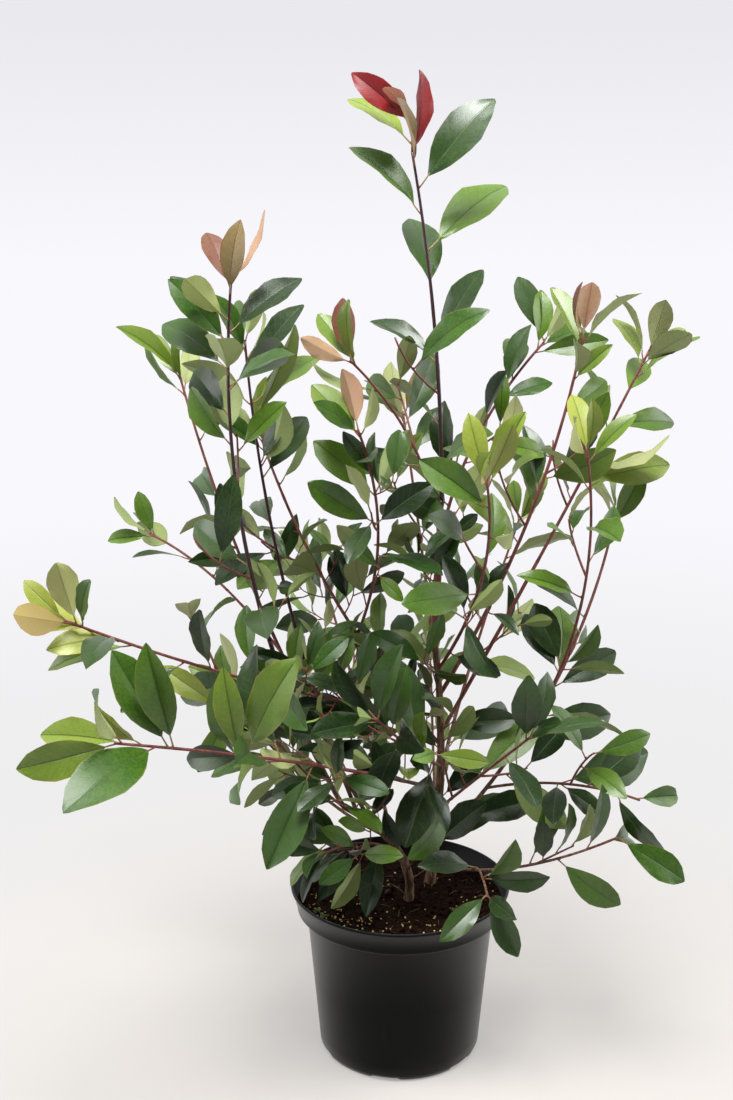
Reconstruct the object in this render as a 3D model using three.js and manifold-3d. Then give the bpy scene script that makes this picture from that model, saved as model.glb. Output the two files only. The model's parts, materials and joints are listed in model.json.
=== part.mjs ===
// A photinia shrub about 1.2 m tall in the black nursery pot it grows in.
// Millimetres, +Z up. The origin is the centre of the pot's flat underside, and the side with the two long
// low branches faces -Y.
import * as THREE from "three";
import { mergeVertices } from "three/addons/utils/BufferGeometryUtils.js";
import Module from "manifold-3d";

const wasm = await Module();
wasm.setup();

// ---- Driving dimensions -----------------------------------------------------------------------------

const POT = {
  height: 222,
  rimRadius: 140,
  lip: 3, // width of the flat top edge of the rim
  collarDepth: 30, // the wide band under the rim
  collarFoot: 131.5, // the band's outer radius at its lower edge
  shoulder: 3, // height of the slope under the band
  wallTop: 119.5, // the wall's outer radius under the band
  wallFoot: 103.5, // the wall's outer radius above the rounded foot
  footRound: 8,
  wall: 2,
  floor: 3,
  sides: 32,
};
const FOOT_NOTCH = { count: 6, first: -101, width: 36, height: 2.5, depth: 9 };
const SOIL_TOP = 200;
const CLEAR = 0.3; // between two solids that touch on the real plant
const SIMPLIFY = 0.05; // how far a joined surface may shift to lose needless edges
const LEAF_CLEAR = 0.4; // between a blade and whatever it doesn't grow on

// Leaves. Their sizes are millimetres or shares of the length, their angles degrees, and tip and foot say
// how a leaf at the tip of its stem differs from one at the foot.
const GOLDEN = 137.5; // from one leaf to the next round its stem
const LEAF = {
  length: 98,
  width: 0.45,
  thick: 1.8,
  lowRing: { at: 0.3, half: 0.42 }, // the two rings of the outline, and half the width there
  highRing: { at: 0.7, half: 0.44 },
  from: 0.03, // where the first one leaves its shoot, past the bare wood
  stalk: 15,
  stalkRadius: 0.65,
  lean: { foot: 64, tip: 30, jitter: 9 }, // off the line of its stem
  turnJitter: 16,
  lift: { foot: -0.04, tip: 0.18, jitter: 0.1 }, // how far it rises off that direction
  face: { ahead: 0.2, up: 0.3, out: 0.2, light: 0.5, jitter: 0.7, rise: 0.3 }, // what its upper side turns to
  sag: { least: 0.1, most: 0.26 },
  size: { foot: 1.02, young: 0.88, tip: 0.72, youngFrom: 0.75, jitter: 0.13 },
  widthJitter: 0.1,
  stalkShrink: 0.45, // towards the tip
};
const TIP_RADIUS = 1.7; // of a shoot's stem
const FLUSH = { leaves: 4, from: 0.955, top: 0.93, young: 0.78 }; // the young leaves crowded at a tip
const TWIG = {
  radius: 1.9,
  tipRadius: 1.5,
  leaves: 3,
  from: 0.05, // where the first one leaves its shoot, past the bare wood
  to: 0.7, // and the share of the shoot that the last one stays below
  turn: 70,
  ahead: 0.66, // how its length goes along the shoot, away from it, and up
  away: 0.72,
  rise: 0.16,
  bow: 0.1,
  bare: 0.3,
  shrink: 0.35,
  jitter: 0.12,
  firstLeaf: 40,
  leafSize: 0.9,
  age: 0.9, // its leaves are a little older than those of a shoot's tip
};

// The sides that a twig or leaf tries in turn, in degrees from its own, until it clears the rest.
const TWIG_STEPS = [0, 50, -50, 100, -100, 160];
const LEAF_STEPS = [0, 28, -28, 56, -56, 90, -90];

// Every leaf and twig has random numbers of its own, by a key counted from its shoot.
const SHOOT_KEYS = 1000;
const TWIG_KEYS = 700;
const TWIG_LEAF_KEYS = 100;
const LEAVES_PER_TWIG_KEYS = 20;

// The stems, from the soil to where they fork. Places are [right, back, up].
const STEMS = [
  { name: "stem_left", foot: [10, -6], tip: [-73, 20, 318], bow: [29, -8, 9], thick: 5.4, thin: 4.4 },
  { name: "stem_right", foot: [40, 44], tip: [42, 22, 540], bow: [11, 2, 0], thick: 6.2, thin: 3.9 },
];
const FLARE = { extra: 0.45, height: 14 };

// The shoots. Each leaves a limb at a share of that limb's length, ends at tip, and stands off the straight
// line by bow at its middle. It is bare wood over the share bare, and foliage from there to the tip.
// leaves and twigs are counts, turn sets the side of its first leaf, and size scales its leaves.
const SHOOTS = [
  { name: "leader", from: "stem_right", at: 1, tip: [9, 0, 1126], bow: [19, 4, 0],
    thick: 3.6, bare: 0.3, leaves: 11, twigs: 1, twig: 110, turn: 260, size: 1.06 },
  { name: "left_upright", from: "stem_left", at: 1, tip: [-194, -65, 988], bow: [-45, -46, 0],
    thick: 3.6, bare: 0.36, leaves: 11, twigs: 2, twig: 100, turn: 110, size: 0.95 },
  { name: "left_inner", from: "stem_left", at: 0.9, tip: [-192, 75, 907], bow: [-22, -13, 0],
    thick: 3, bare: 0.4, leaves: 8, twigs: 1, twig: 90, turn: 160, size: 0.9 },
  { name: "left_outer", from: "stem_left", at: 0.78, tip: [-278, 120, 855], bow: [-20, 5, -10],
    thick: 3, bare: 0.52, leaves: 7, twigs: 1, twig: 80, turn: 100, size: 0.85 },
  { name: "left_reach", from: "left_outer", at: 0.4, tip: [-330, 165, 642], bow: [0, 10, 16],
    thick: 1.9, bare: 0.4, leaves: 7, twigs: 0, twig: 0, turn: 170, size: 0.75 },
  { name: "left_low_back", from: "stem_left", at: 0.66, tip: [-225, 150, 430], bow: [0, 5, -32],
    thick: 2.6, bare: 0.4, leaves: 7, twigs: 1, twig: 80, turn: 340, size: 0.9 },
  { name: "left_front", from: "stem_right", at: 0.7, tip: [-366, -220, 636], bow: [0, -10, -12],
    thick: 2.6, bare: 0.38, leaves: 10, twigs: 2, twig: 90, turn: 150, size: 0.9 },
  { name: "left_low_front", from: "stem_right", at: 0.4, tip: [-300, -320, 535], bow: [19, -8, 9],
    thick: 2.8, bare: 0.42, leaves: 9, twigs: 1, twig: 70, turn: 290, size: 1.15 },
  { name: "inner_left", from: "stem_right", at: 0.58, tip: [-177, 130, 774], bow: [-21, -26, 0],
    thick: 2.8, bare: 0.46, leaves: 7, twigs: 1, twig: 90, turn: 150, size: 0.9 },
  { name: "inner_front", from: "inner_left", at: 0.38, tip: [-53, -60, 817], bow: [25, 5, 0],
    thick: 2.2, bare: 0.3, leaves: 8, twigs: 1, twig: 80, turn: 220, size: 0.85 },
  { name: "middle", from: "leader", at: 0.16, tip: [-62, -30, 893], bow: [28, 14, 8],
    thick: 2.2, bare: 0.34, leaves: 7, twigs: 1, twig: 90, turn: 50, size: 0.9 },
  { name: "right_inner", from: "stem_right", at: 0.95, tip: [180, 120, 900], bow: [-44, 8, 10],
    thick: 2.8, bare: 0.34, leaves: 8, twigs: 2, twig: 90, turn: 190, size: 0.9 },
  { name: "right_near", from: "stem_right", at: 0.88, tip: [89, -140, 773], bow: [24, -12, 6],
    thick: 2.4, bare: 0.32, leaves: 8, twigs: 1, twig: 90, turn: 310, size: 0.9 },
  { name: "right_middle", from: "stem_right", at: 0.78, tip: [208, -20, 921], bow: [24, 0, 4],
    thick: 3, bare: 0.36, leaves: 10, twigs: 2, twig: 90, turn: 310, size: 0.9 },
  { name: "right_outer", from: "stem_right", at: 0.63, tip: [303, 70, 895], bow: [2, -8, 0],
    thick: 3, bare: 0.46, leaves: 9, twigs: 1, twig: 90, turn: 190, size: 0.9 },
  { name: "right_low", from: "stem_right", at: 0.17, tip: [277, 110, 684], bow: [28, -45, 0],
    thick: 3.2, bare: 0.46, leaves: 7, twigs: 1, twig: 80, turn: 160, size: 0.8 },
  { name: "right_front", from: "right_low", at: 0.4, tip: [200, -130, 806], bow: [27, -18, 0],
    thick: 2.2, bare: 0.42, leaves: 8, twigs: 1, twig: 80, turn: 320, size: 0.8 },
  { name: "right_skirt", from: "right_low", at: 0.2, tip: [287, -80, 369], bow: [0, -20, 22],
    thick: 2, bare: 0.34, leaves: 7, twigs: 1, twig: 70, turn: 130, size: 0.85 },
  { name: "low_right", from: "stem_right", at: 0.09, tip: [256, -110, 334], bow: [-12, -37, -4],
    thick: 2.2, bare: 0.48, leaves: 6, twigs: 1, twig: 60, turn: 310, size: 0.85 },
  { name: "low_front", from: "low_right", at: 0.26, tip: [104, -100, 252], bow: [0, 4, 14],
    thick: 1.6, bare: 0, leaves: 4, twigs: 0, twig: 0, turn: 120, size: 0.8 },
  { name: "low_left", from: "stem_left", at: 0.5, tip: [-92, -70, 296], bow: [0, -6, 14],
    thick: 2, bare: 0, leaves: 5, twigs: 1, twig: 60, turn: 310, size: 0.85 },
  { name: "heart_front", from: "stem_right", at: 0.5, tip: [-34, -150, 500], bow: [10, -8, -10],
    thick: 2.2, bare: 0, leaves: 7, twigs: 1, twig: 80, turn: 260, size: 1 },
  { name: "heart_right", from: "stem_right", at: 0.32, tip: [150, -110, 462], bow: [-8, -4, -4],
    thick: 2.2, bare: 0, leaves: 7, twigs: 2, twig: 80, turn: 200, size: 0.95 },
  { name: "heart_left", from: "stem_left", at: 0.84, tip: [-165, -95, 470], bow: [10, -6, -20],
    thick: 2, bare: 0, leaves: 7, twigs: 1, twig: 80, turn: 80, size: 0.95 },
  { name: "back_left", from: "stem_left", at: 0.58, tip: [-110, 265, 575], bow: [10, 20, -30],
    thick: 2.8, bare: 0.38, leaves: 7, twigs: 2, twig: 90, turn: 340, size: 0.9 },
  { name: "back_low", from: "stem_right", at: 0.24, tip: [50, 290, 420], bow: [0, 5, -20],
    thick: 2.4, bare: 0.36, leaves: 7, twigs: 1, twig: 80, turn: 40, size: 0.9 },
  { name: "back_right", from: "stem_right", at: 0.46, tip: [170, 265, 640], bow: [-10, 10, -24],
    thick: 2.8, bare: 0.38, leaves: 8, twigs: 2, twig: 90, turn: 250, size: 0.9 },
  { name: "back_middle", from: "stem_right", at: 0.74, tip: [5, 210, 800], bow: [5, 25, -20],
    thick: 2.6, bare: 0.35, leaves: 8, twigs: 2, twig: 90, turn: 180, size: 0.9 },
];

// ---- Materials --------------------------------------------------------------------------------------

const finish = (color, roughness) => new THREE.MeshStandardMaterial({ color, roughness, metalness: 0 });
const POT_BLACK = finish(0x1b1c1e, 0.6);
const DARK_SOIL = finish(0x2a1c15, 0.95);
const BARK = finish(0x6b5040, 0.85);
const RED_BARK = finish(0x5a2a28, 0.6);
const LEAF_GREEN = finish(0x3f6a34, 0.45);

// ---- Solids -----------------------------------------------------------------------------------------

/** A closed geometry as a solid that can be joined and cut. */
function solidOf(geometry) {
  const bare = geometry.index ? geometry.toNonIndexed() : geometry.clone();
  bare.deleteAttribute("normal");
  bare.deleteAttribute("uv");
  const merged = mergeVertices(bare, 1e-4);
  const vertProperties = new Float32Array(merged.attributes.position.array);
  const triVerts = new Uint32Array(merged.index.array);
  return new wasm.Manifold(new wasm.Mesh({ numProp: 3, vertProperties, triVerts }));
}

function geometryOf(solid) {
  const mesh = solid.getMesh();
  const geometry = new THREE.BufferGeometry();
  geometry.setAttribute("position", new THREE.BufferAttribute(mesh.vertProperties, 3));
  geometry.setIndex(new THREE.BufferAttribute(mesh.triVerts, 1));
  return geometry.toNonIndexed();
}

const pieces = new THREE.Group();

function addPiece(name, solid, material) {
  const mesh = new THREE.Mesh(geometryOf(solid), material);
  mesh.geometry.computeVertexNormals();
  mesh.name = name;
  pieces.add(mesh);
}

/** The largest body of a solid with its sealed hollows filled. */
function mainBody(solid) {
  const bodies = solid.decompose();
  const outer = bodies.filter((body) => body.volume() > 0).sort((a, b) => b.volume() - a.volume())[0];
  const inner = bodies.filter((body) => body.volume() < 0);
  return inner.length ? solidOf(geometryOf(outer)) : outer;
}

// ---- Pot and soil -----------------------------------------------------------------------------------

/** A quarter round from the flat underside up to the wall. */
function footRound(radius, height, round) {
  const points = [];
  for (const turn of [0, 45, 90]) {
    const angle = THREE.MathUtils.degToRad(turn);
    const reach = radius - round + round * Math.sin(angle);
    points.push(new THREE.Vector2(reach, height + round * (1 - Math.cos(angle))));
  }
  return points;
}

function turned(profile) {
  const closed = [...profile, profile[0].clone()];
  return solidOf(new THREE.LatheGeometry(closed, POT.sides).rotateX(Math.PI / 2));
}

const COLLAR_FOOT = POT.height - POT.collarDepth;
const SHOULDER_FOOT = COLLAR_FOOT - POT.shoulder;

/** The inside of the wall from the floor to the rim, drawn in by gap. */
function innerProfile(gap) {
  const inset = POT.wall + gap;
  const floor = footRound(POT.wallFoot - inset, POT.floor + gap, POT.footRound - POT.wall);
  return [
    ...floor,
    new THREE.Vector2(POT.wallTop - inset, SHOULDER_FOOT + gap),
    new THREE.Vector2(POT.collarFoot - inset, COLLAR_FOOT + gap),
  ];
}

function makePot() {
  const outer = [
    new THREE.Vector2(0, 0),
    ...footRound(POT.wallFoot, 0, POT.footRound),
    new THREE.Vector2(POT.wallTop, SHOULDER_FOOT),
    new THREE.Vector2(POT.collarFoot, COLLAR_FOOT),
    new THREE.Vector2(POT.rimRadius, POT.height),
    new THREE.Vector2(POT.rimRadius - POT.lip, POT.height),
  ];
  const inner = [...innerProfile(0).reverse(), new THREE.Vector2(0, POT.floor)];
  let pot = turned([...outer, ...inner]);
  for (let i = 0; i < FOOT_NOTCH.count; i++) {
    const angle = THREE.MathUtils.degToRad(FOOT_NOTCH.first + (360 / FOOT_NOTCH.count) * i);
    const notch = new THREE.BoxGeometry(FOOT_NOTCH.depth * 2, FOOT_NOTCH.width, FOOT_NOTCH.height * 2);
    notch.translate(POT.wallFoot, 0, 0).rotateZ(angle);
    pot = pot.subtract(solidOf(notch));
  }
  return pot;
}

function makeSoil() {
  const side = innerProfile(CLEAR);
  const collarFoot = side.at(-1);
  const rimInside = POT.rimRadius - POT.lip - CLEAR;
  const share = (SOIL_TOP - collarFoot.y) / (POT.height - collarFoot.y);
  const top = THREE.MathUtils.lerp(collarFoot.x, rimInside, share);
  return turned([
    new THREE.Vector2(0, POT.floor + CLEAR),
    ...side,
    new THREE.Vector2(top, SOIL_TOP),
    new THREE.Vector2(0, SOIL_TOP),
  ]);
}

// ---- Limbs ------------------------------------------------------------------------------------------

const vec = (place) => new THREE.Vector3(...place);
const UP = new THREE.Vector3(0, 0, 1);

/** A curve from foot to tip whose middle stands bow off the straight line, thinning from thick to thin. */
function makeLimb(foot, tip, bow, thick, thin, flare = 0) {
  const control = foot.clone().add(tip).multiplyScalar(0.5).addScaledVector(bow, 2);
  const curve = new THREE.QuadraticBezierCurve3(foot, control, tip);
  const chord = tip.clone().sub(foot);
  const across = new THREE.Vector3().crossVectors(chord, bow);
  if (across.length() < 1) across.crossVectors(chord, new THREE.Vector3(1, 0.3, 0));
  across.normalize();
  const length = curve.getLength();
  const radius = (t) => {
    const swell = 1 + flare * Math.exp((-t * length) / FLARE.height);
    return THREE.MathUtils.lerp(thick, thin, t) * swell;
  };
  return { curve, across, length, radius };
}

/** The limb's own directions at t: along it, and two square to it. */
function frameAt(limb, t) {
  const ahead = limb.curve.getTangent(t);
  const out = new THREE.Vector3().crossVectors(ahead, limb.across).normalize();
  return { point: limb.curve.getPoint(t), ahead, out, across: limb.across };
}

/** The limb's solid from one share of its length to another: a cylinder bent along the curve. */
function tube(limb, from, to, sides, steps, margin = 0) {
  const cylinder = new THREE.CylinderGeometry(1, 1, 1, sides, steps);
  const place = cylinder.attributes.position;
  for (let i = 0; i < place.count; i++) {
    const share = place.getY(i) + 0.5;
    const t = THREE.MathUtils.lerp(from, to, share);
    const { point, ahead, out, across } = frameAt(limb, t);
    const radius = limb.radius(t) + margin;
    point.addScaledVector(out, place.getX(i) * radius).addScaledVector(across, place.getZ(i) * radius);
    if (share < 0.01) point.addScaledVector(ahead, -margin);
    if (share > 0.99) point.addScaledVector(ahead, margin);
    place.setXYZ(i, point.x, point.y, point.z);
  }
  return solidOf(cylinder);
}

/** The bare part of a limb, larger all round by margin. */
const woodOf = (limb, margin) => tube(limb, 0, limb.wood.to, limb.wood.sides, limb.wood.steps, margin);

// ---- Leaves -----------------------------------------------------------------------------------------

/** Random numbers from 0 to 1 that are the same for the same key. */
function makeDraw(key) {
  let state = Math.imul(key + 1, 2654435761) >>> 0;
  const draw = () => {
    state = (Math.imul(state, 1664525) + 1013904223) >>> 0;
    return state / 4294967296;
  };
  draw();
  draw();
  return draw;
}

const spread = (draw) => draw() * 2 - 1;

/** The rings of a leaf from the middle of its stem to its tip: how far along, half as wide, how deep. */
function leafRings(leaf) {
  const stalk = { half: LEAF.stalkRadius, keel: LEAF.stalkRadius * 1.8 };
  return [
    { along: -leaf.stalk, ...stalk },
    { along: 0, ...stalk },
    ...[LEAF.lowRing, LEAF.highRing].map(({ at, half }) => {
      return { along: at * leaf.length, half: half * leaf.width, keel: LEAF.thick };
    }),
    { along: leaf.length, half: 0, keel: 0 },
  ];
}

/** A three-sided cone pressed flat through the rings, its blade sagging to the tip. */
function pressedCone(leaf, rings, margin) {
  const cone = new THREE.ConeGeometry(1, 1, 3, rings.length - 1);
  const place = cone.attributes.position;
  for (let i = 0; i < place.count; i++) {
    const level = Math.round((place.getY(i) + 0.5) * (rings.length - 1));
    const { along, half, keel } = rings[level];
    const sag = (leaf.sag * Math.max(0, along) ** 2) / leaf.length;
    const lift = place.getZ(i) > 0.01 ? -keel - margin : margin;
    const past = level === 0 ? -margin : 0;
    const point = leaf.base.clone().addScaledVector(leaf.ahead, along + past);
    point.addScaledVector(leaf.side, Math.sign(Math.round(place.getX(i) * 100)) * (half + margin));
    point.addScaledVector(leaf.face, lift - sag);
    place.setXYZ(i, point.x, point.y, point.z);
  }
  return solidOf(cone);
}

const leafSolid = (leaf) => pressedCone(leaf, leafRings(leaf), 0);

/** The blade alone, and larger all round by margin. */
function bladeSpace(leaf, margin) {
  const rings = leafRings(leaf).slice(1);
  rings.at(-1).along += margin;
  return pressedCone(leaf, rings, margin);
}

/** The stalk alone, and larger all round by margin. */
function stalkSpace(leaf, margin) {
  const limb = makeLimb(leaf.root, leaf.base, new THREE.Vector3(), LEAF.stalkRadius, LEAF.stalkRadius);
  return tube(limb, 0, 1, 3, 1, margin);
}

/** The size of a leaf for its share of the way to the tip, where the young ones are still growing. */
function grownShare(share) {
  const { foot, young, tip, youngFrom } = LEAF.size;
  if (share < youngFrom) return THREE.MathUtils.lerp(foot, young, share / youngFrom);
  return THREE.MathUtils.lerp(young, tip, (share - youngFrom) / (1 - youngFrom));
}

/** A direction square to a limb at an angle round it. */
function awayFrom(frame, degrees) {
  const angle = THREE.MathUtils.degToRad(degrees);
  return frame.out.clone().multiplyScalar(Math.cos(angle)).addScaledVector(frame.across, Math.sin(angle));
}

/** Where a leaf on a limb at t stands, for its share of the way to the tip and its turn round the limb. */
function planLeaf(limb, t, share, turn, size, key) {
  const draw = makeDraw(key);
  const frame = frameAt(limb, t);
  const away = awayFrom(frame, turn + LEAF.turnJitter * spread(draw));
  const leanShare = THREE.MathUtils.lerp(LEAF.lean.foot, LEAF.lean.tip, share * share);
  const lean = THREE.MathUtils.degToRad(leanShare + LEAF.lean.jitter * spread(draw));
  const ahead = frame.ahead.clone().multiplyScalar(Math.cos(lean)).addScaledVector(away, Math.sin(lean));
  const lift = THREE.MathUtils.lerp(LEAF.lift.foot, LEAF.lift.tip, share);
  ahead.addScaledVector(UP, lift + LEAF.lift.jitter * spread(draw)).normalize();
  const outward = new THREE.Vector3(frame.point.x, frame.point.y, 0).normalize();
  const face = frame.ahead.clone().multiplyScalar(LEAF.face.ahead);
  face.addScaledVector(UP, LEAF.face.up).addScaledVector(outward, LEAF.face.out);
  face.y -= LEAF.face.light;
  face.x += LEAF.face.jitter * spread(draw);
  face.y += LEAF.face.jitter * spread(draw);
  face.z += LEAF.face.rise * spread(draw);
  face.addScaledVector(ahead, -face.dot(ahead)).normalize();
  const length = LEAF.length * size * grownShare(share) * (1 + LEAF.size.jitter * spread(draw));
  const stalk = LEAF.stalk * size * (1 - LEAF.stalkShrink * share) + limb.radius(t);
  return {
    root: frame.point,
    stalk,
    base: frame.point.clone().addScaledVector(ahead, stalk),
    ahead,
    side: new THREE.Vector3().crossVectors(face, ahead),
    face,
    length,
    width: length * LEAF.width * (1 + LEAF.widthJitter * spread(draw)),
    sag: THREE.MathUtils.lerp(LEAF.sag.least, LEAF.sag.most, draw()),
  };
}

// ---- Growing the plant ------------------------------------------------------------------------------

const limbs = new Map();
const crowns = SHOOTS.map(() => []);
const taken = []; // every solid so far, with its box and the foliage it belongs to

function boxOf(solid) {
  const { min, max } = solid.boundingBox();
  return new THREE.Box3(vec(min), vec(max));
}

function take(solid, owner) {
  taken.push({ solid, box: boxOf(solid), owner });
}

/** Whether a solid cuts anything that is in place, apart from what belongs to its own foliage. */
function meets(solid, owner) {
  const box = boxOf(solid);
  const near = taken.filter((other) => other.owner !== owner && other.box.intersectsBox(box));
  return near.some((other) => !solid.intersect(other.solid).isEmpty());
}

const pot = makePot();
const soil = makeSoil();
take(pot, "pot");
take(soil, "soil");
addPiece("pot", pot, POT_BLACK);
addPiece("soil", soil, DARK_SOIL);

const ground = solidOf(new THREE.BoxGeometry(400, 400, 40).translate(0, 0, SOIL_TOP + CLEAR - 20));
for (const stem of STEMS) {
  const foot = vec([...stem.foot, SOIL_TOP - 5]);
  const limb = makeLimb(foot, vec(stem.tip), vec(stem.bow), stem.thick, stem.thin, FLARE.extra);
  limbs.set(stem.name, limb);
  limb.wood = { to: 1, sides: 7, steps: 8 };
  const solid = mainBody(woodOf(limb, 0).subtract(ground));
  take(solid, stem.name);
  addPiece(stem.name, solid, BARK);
}

SHOOTS.forEach((shoot, index) => {
  const parent = limbs.get(shoot.from);
  const foot = parent.curve.getPoint(shoot.at);
  const limb = makeLimb(foot, vec(shoot.tip), vec(shoot.bow), shoot.thick, TIP_RADIUS);
  limbs.set(shoot.name, limb);
  limb.wood = { to: shoot.bare, sides: 5, steps: 4 };
  const parentWood = woodOf(parent, CLEAR);
  if (shoot.bare > 0) {
    const bough = mainBody(woodOf(limb, 0).subtract(parentWood));
    take(bough, "bough_" + shoot.name);
    addPiece("bough_" + shoot.name, bough, RED_BARK);
  }
  const start = shoot.bare > 0 ? shoot.bare + CLEAR / limb.length : 0;
  const stem = tube(limb, start, 1, 4, 4);
  const clear = shoot.bare > 0 ? stem : mainBody(stem.subtract(parentWood));
  take(clear, shoot.name);
  crowns[index].push(clear);
});

/** A side twig that leaves the shoot's stem and turns up, on the first side where nothing is in its way. */
function growTwig(shoot, index, number) {
  const limb = limbs.get(shoot.name);
  const share = (number + 0.5) / shoot.twigs;
  const frame = frameAt(limb, THREE.MathUtils.lerp(shoot.bare + TWIG.from, TWIG.to, share));
  const draw = makeDraw(index * SHOOT_KEYS + TWIG_KEYS + number);
  const reach = shoot.twig * (1 - TWIG.shrink * share) * (1 + TWIG.jitter * spread(draw));
  for (const step of TWIG_STEPS) {
    const away = awayFrom(frame, shoot.turn + TWIG.turn + GOLDEN * number + step);
    const tip = frame.point.clone().addScaledVector(frame.ahead, reach * TWIG.ahead);
    tip.addScaledVector(away, reach * TWIG.away).addScaledVector(UP, reach * TWIG.rise);
    const bow = away.clone().multiplyScalar(reach * TWIG.bow);
    const twig = makeLimb(frame.point, tip, bow, TWIG.radius, TWIG.tipRadius);
    if (meets(tube(twig, 0, 1, 3, 2, LEAF_CLEAR), shoot.name)) continue;
    const solid = tube(twig, 0, 1, 3, 2);
    take(solid, shoot.name);
    crowns[index].push(solid);
    return twig;
  }
  return null;
}

/** A leaf on the first side where its blade and stalk clear everything that is in place. */
function growLeaf(shoot, index, limb, t, share, turn, size, key) {
  for (const step of LEAF_STEPS) {
    const leaf = planLeaf(limb, t, share, turn + step, size, key);
    if (meets(bladeSpace(leaf, LEAF_CLEAR), null)) continue;
    if (meets(stalkSpace(leaf, LEAF_CLEAR), shoot.name)) continue;
    const solid = leafSolid(leaf);
    take(solid, shoot.name);
    crowns[index].push(solid);
    return true;
  }
  return false;
}

const twigs = SHOOTS.map((shoot, index) => {
  return Array.from({ length: shoot.twigs }, (_, number) => growTwig(shoot, index, number));
});

// The tip leaves of a shoot come first, so that they get the room they need.
SHOOTS.forEach((shoot, index) => {
  const limb = limbs.get(shoot.name);
  const old = shoot.leaves - Math.min(FLUSH.leaves, Math.ceil(shoot.leaves / 2));
  for (let i = shoot.leaves - 1; i >= 0; i--) {
    const step = i < old ? (i + 0.5) / old : (i - old + 0.5) / (shoot.leaves - old);
    const share = i < old ? LEAF.size.youngFrom * step : THREE.MathUtils.lerp(FLUSH.young, 1, step);
    const from = i < old ? shoot.bare + LEAF.from : FLUSH.from;
    const t = THREE.MathUtils.lerp(from, i < old ? FLUSH.top : 1, step);
    growLeaf(shoot, index, limb, t, share, shoot.turn + GOLDEN * i, shoot.size, index * SHOOT_KEYS + i);
  }
});
SHOOTS.forEach((shoot, index) => {
  twigs[index].forEach((twig, number) => {
    if (!twig) return;
    for (let i = TWIG.leaves - 1; i >= 0; i--) {
      const share = (i + 0.7) / TWIG.leaves;
      const t = THREE.MathUtils.lerp(TWIG.bare, 1, share);
      const key = index * SHOOT_KEYS + TWIG_LEAF_KEYS + number * LEAVES_PER_TWIG_KEYS + i;
      const turn = TWIG.firstLeaf + GOLDEN * (i + number);
      growLeaf(shoot, index, twig, t, share * TWIG.age, turn, shoot.size * TWIG.leafSize, key);
    }
  });
});

SHOOTS.forEach((shoot, index) => {
  const joined = mainBody(wasm.Manifold.union(crowns[index])).setTolerance(SIMPLIFY);
  addPiece("foliage_" + shoot.name, joined, LEAF_GREEN);
});

export default pieces;
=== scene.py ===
import json
import math
import random

import bmesh
import bpy
import numpy as np
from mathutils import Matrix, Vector, noise
from mathutils.bvhtree import BVHTree

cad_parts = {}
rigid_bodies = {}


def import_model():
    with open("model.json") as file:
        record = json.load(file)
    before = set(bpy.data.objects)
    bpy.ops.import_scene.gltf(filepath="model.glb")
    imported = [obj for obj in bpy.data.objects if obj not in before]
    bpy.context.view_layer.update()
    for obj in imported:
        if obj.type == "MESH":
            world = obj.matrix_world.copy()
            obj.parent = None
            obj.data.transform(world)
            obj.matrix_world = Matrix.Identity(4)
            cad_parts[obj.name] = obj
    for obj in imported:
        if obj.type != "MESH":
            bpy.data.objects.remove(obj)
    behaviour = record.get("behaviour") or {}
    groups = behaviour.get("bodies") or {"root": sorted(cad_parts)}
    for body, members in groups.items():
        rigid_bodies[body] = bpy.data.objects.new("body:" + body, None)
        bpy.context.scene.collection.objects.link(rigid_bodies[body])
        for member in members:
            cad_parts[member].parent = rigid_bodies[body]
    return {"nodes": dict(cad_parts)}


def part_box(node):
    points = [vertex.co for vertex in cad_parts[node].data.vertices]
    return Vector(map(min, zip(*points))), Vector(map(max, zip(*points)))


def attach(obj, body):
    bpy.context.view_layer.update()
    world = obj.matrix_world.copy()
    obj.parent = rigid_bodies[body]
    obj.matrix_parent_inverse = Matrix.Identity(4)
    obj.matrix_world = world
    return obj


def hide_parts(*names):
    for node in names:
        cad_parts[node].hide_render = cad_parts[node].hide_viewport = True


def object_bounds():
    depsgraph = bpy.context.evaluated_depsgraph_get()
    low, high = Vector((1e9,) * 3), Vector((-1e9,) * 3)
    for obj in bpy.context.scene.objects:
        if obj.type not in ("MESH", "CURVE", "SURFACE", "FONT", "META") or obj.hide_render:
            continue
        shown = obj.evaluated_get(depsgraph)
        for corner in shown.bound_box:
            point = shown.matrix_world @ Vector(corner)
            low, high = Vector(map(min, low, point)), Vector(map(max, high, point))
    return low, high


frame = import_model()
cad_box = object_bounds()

# A photinia shrub in its black nursery pot. The plant grows here in millimetres by the rule of the solids, is
# carried on to finer twigs and more leaves, and goes into Blender's metres as each mesh is made.
MM = 0.001
SEEDS = {"soil": 41, "weeds": 9, "dry_twigs": 23}
UP = Vector((0, 0, 1))


def lerp(first, last, share):
    return first + (last - first) * share


def rgb(red, green, blue):
    """A screen colour, 0 to 255, as Blender's linear colour."""
    shares = [value / 255 for value in (red, green, blue)]
    curve = [s / 12.92 if s <= 0.04045 else ((s + 0.055) / 1.055) ** 2.4 for s in shares]
    return (*curve, 1.0)


# ---- Nodes and finishes -----------------------------------------------------------------------------

SPECKLE_ROUGHNESS = 0.55  # of the noise that every grain and blotch comes from


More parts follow.
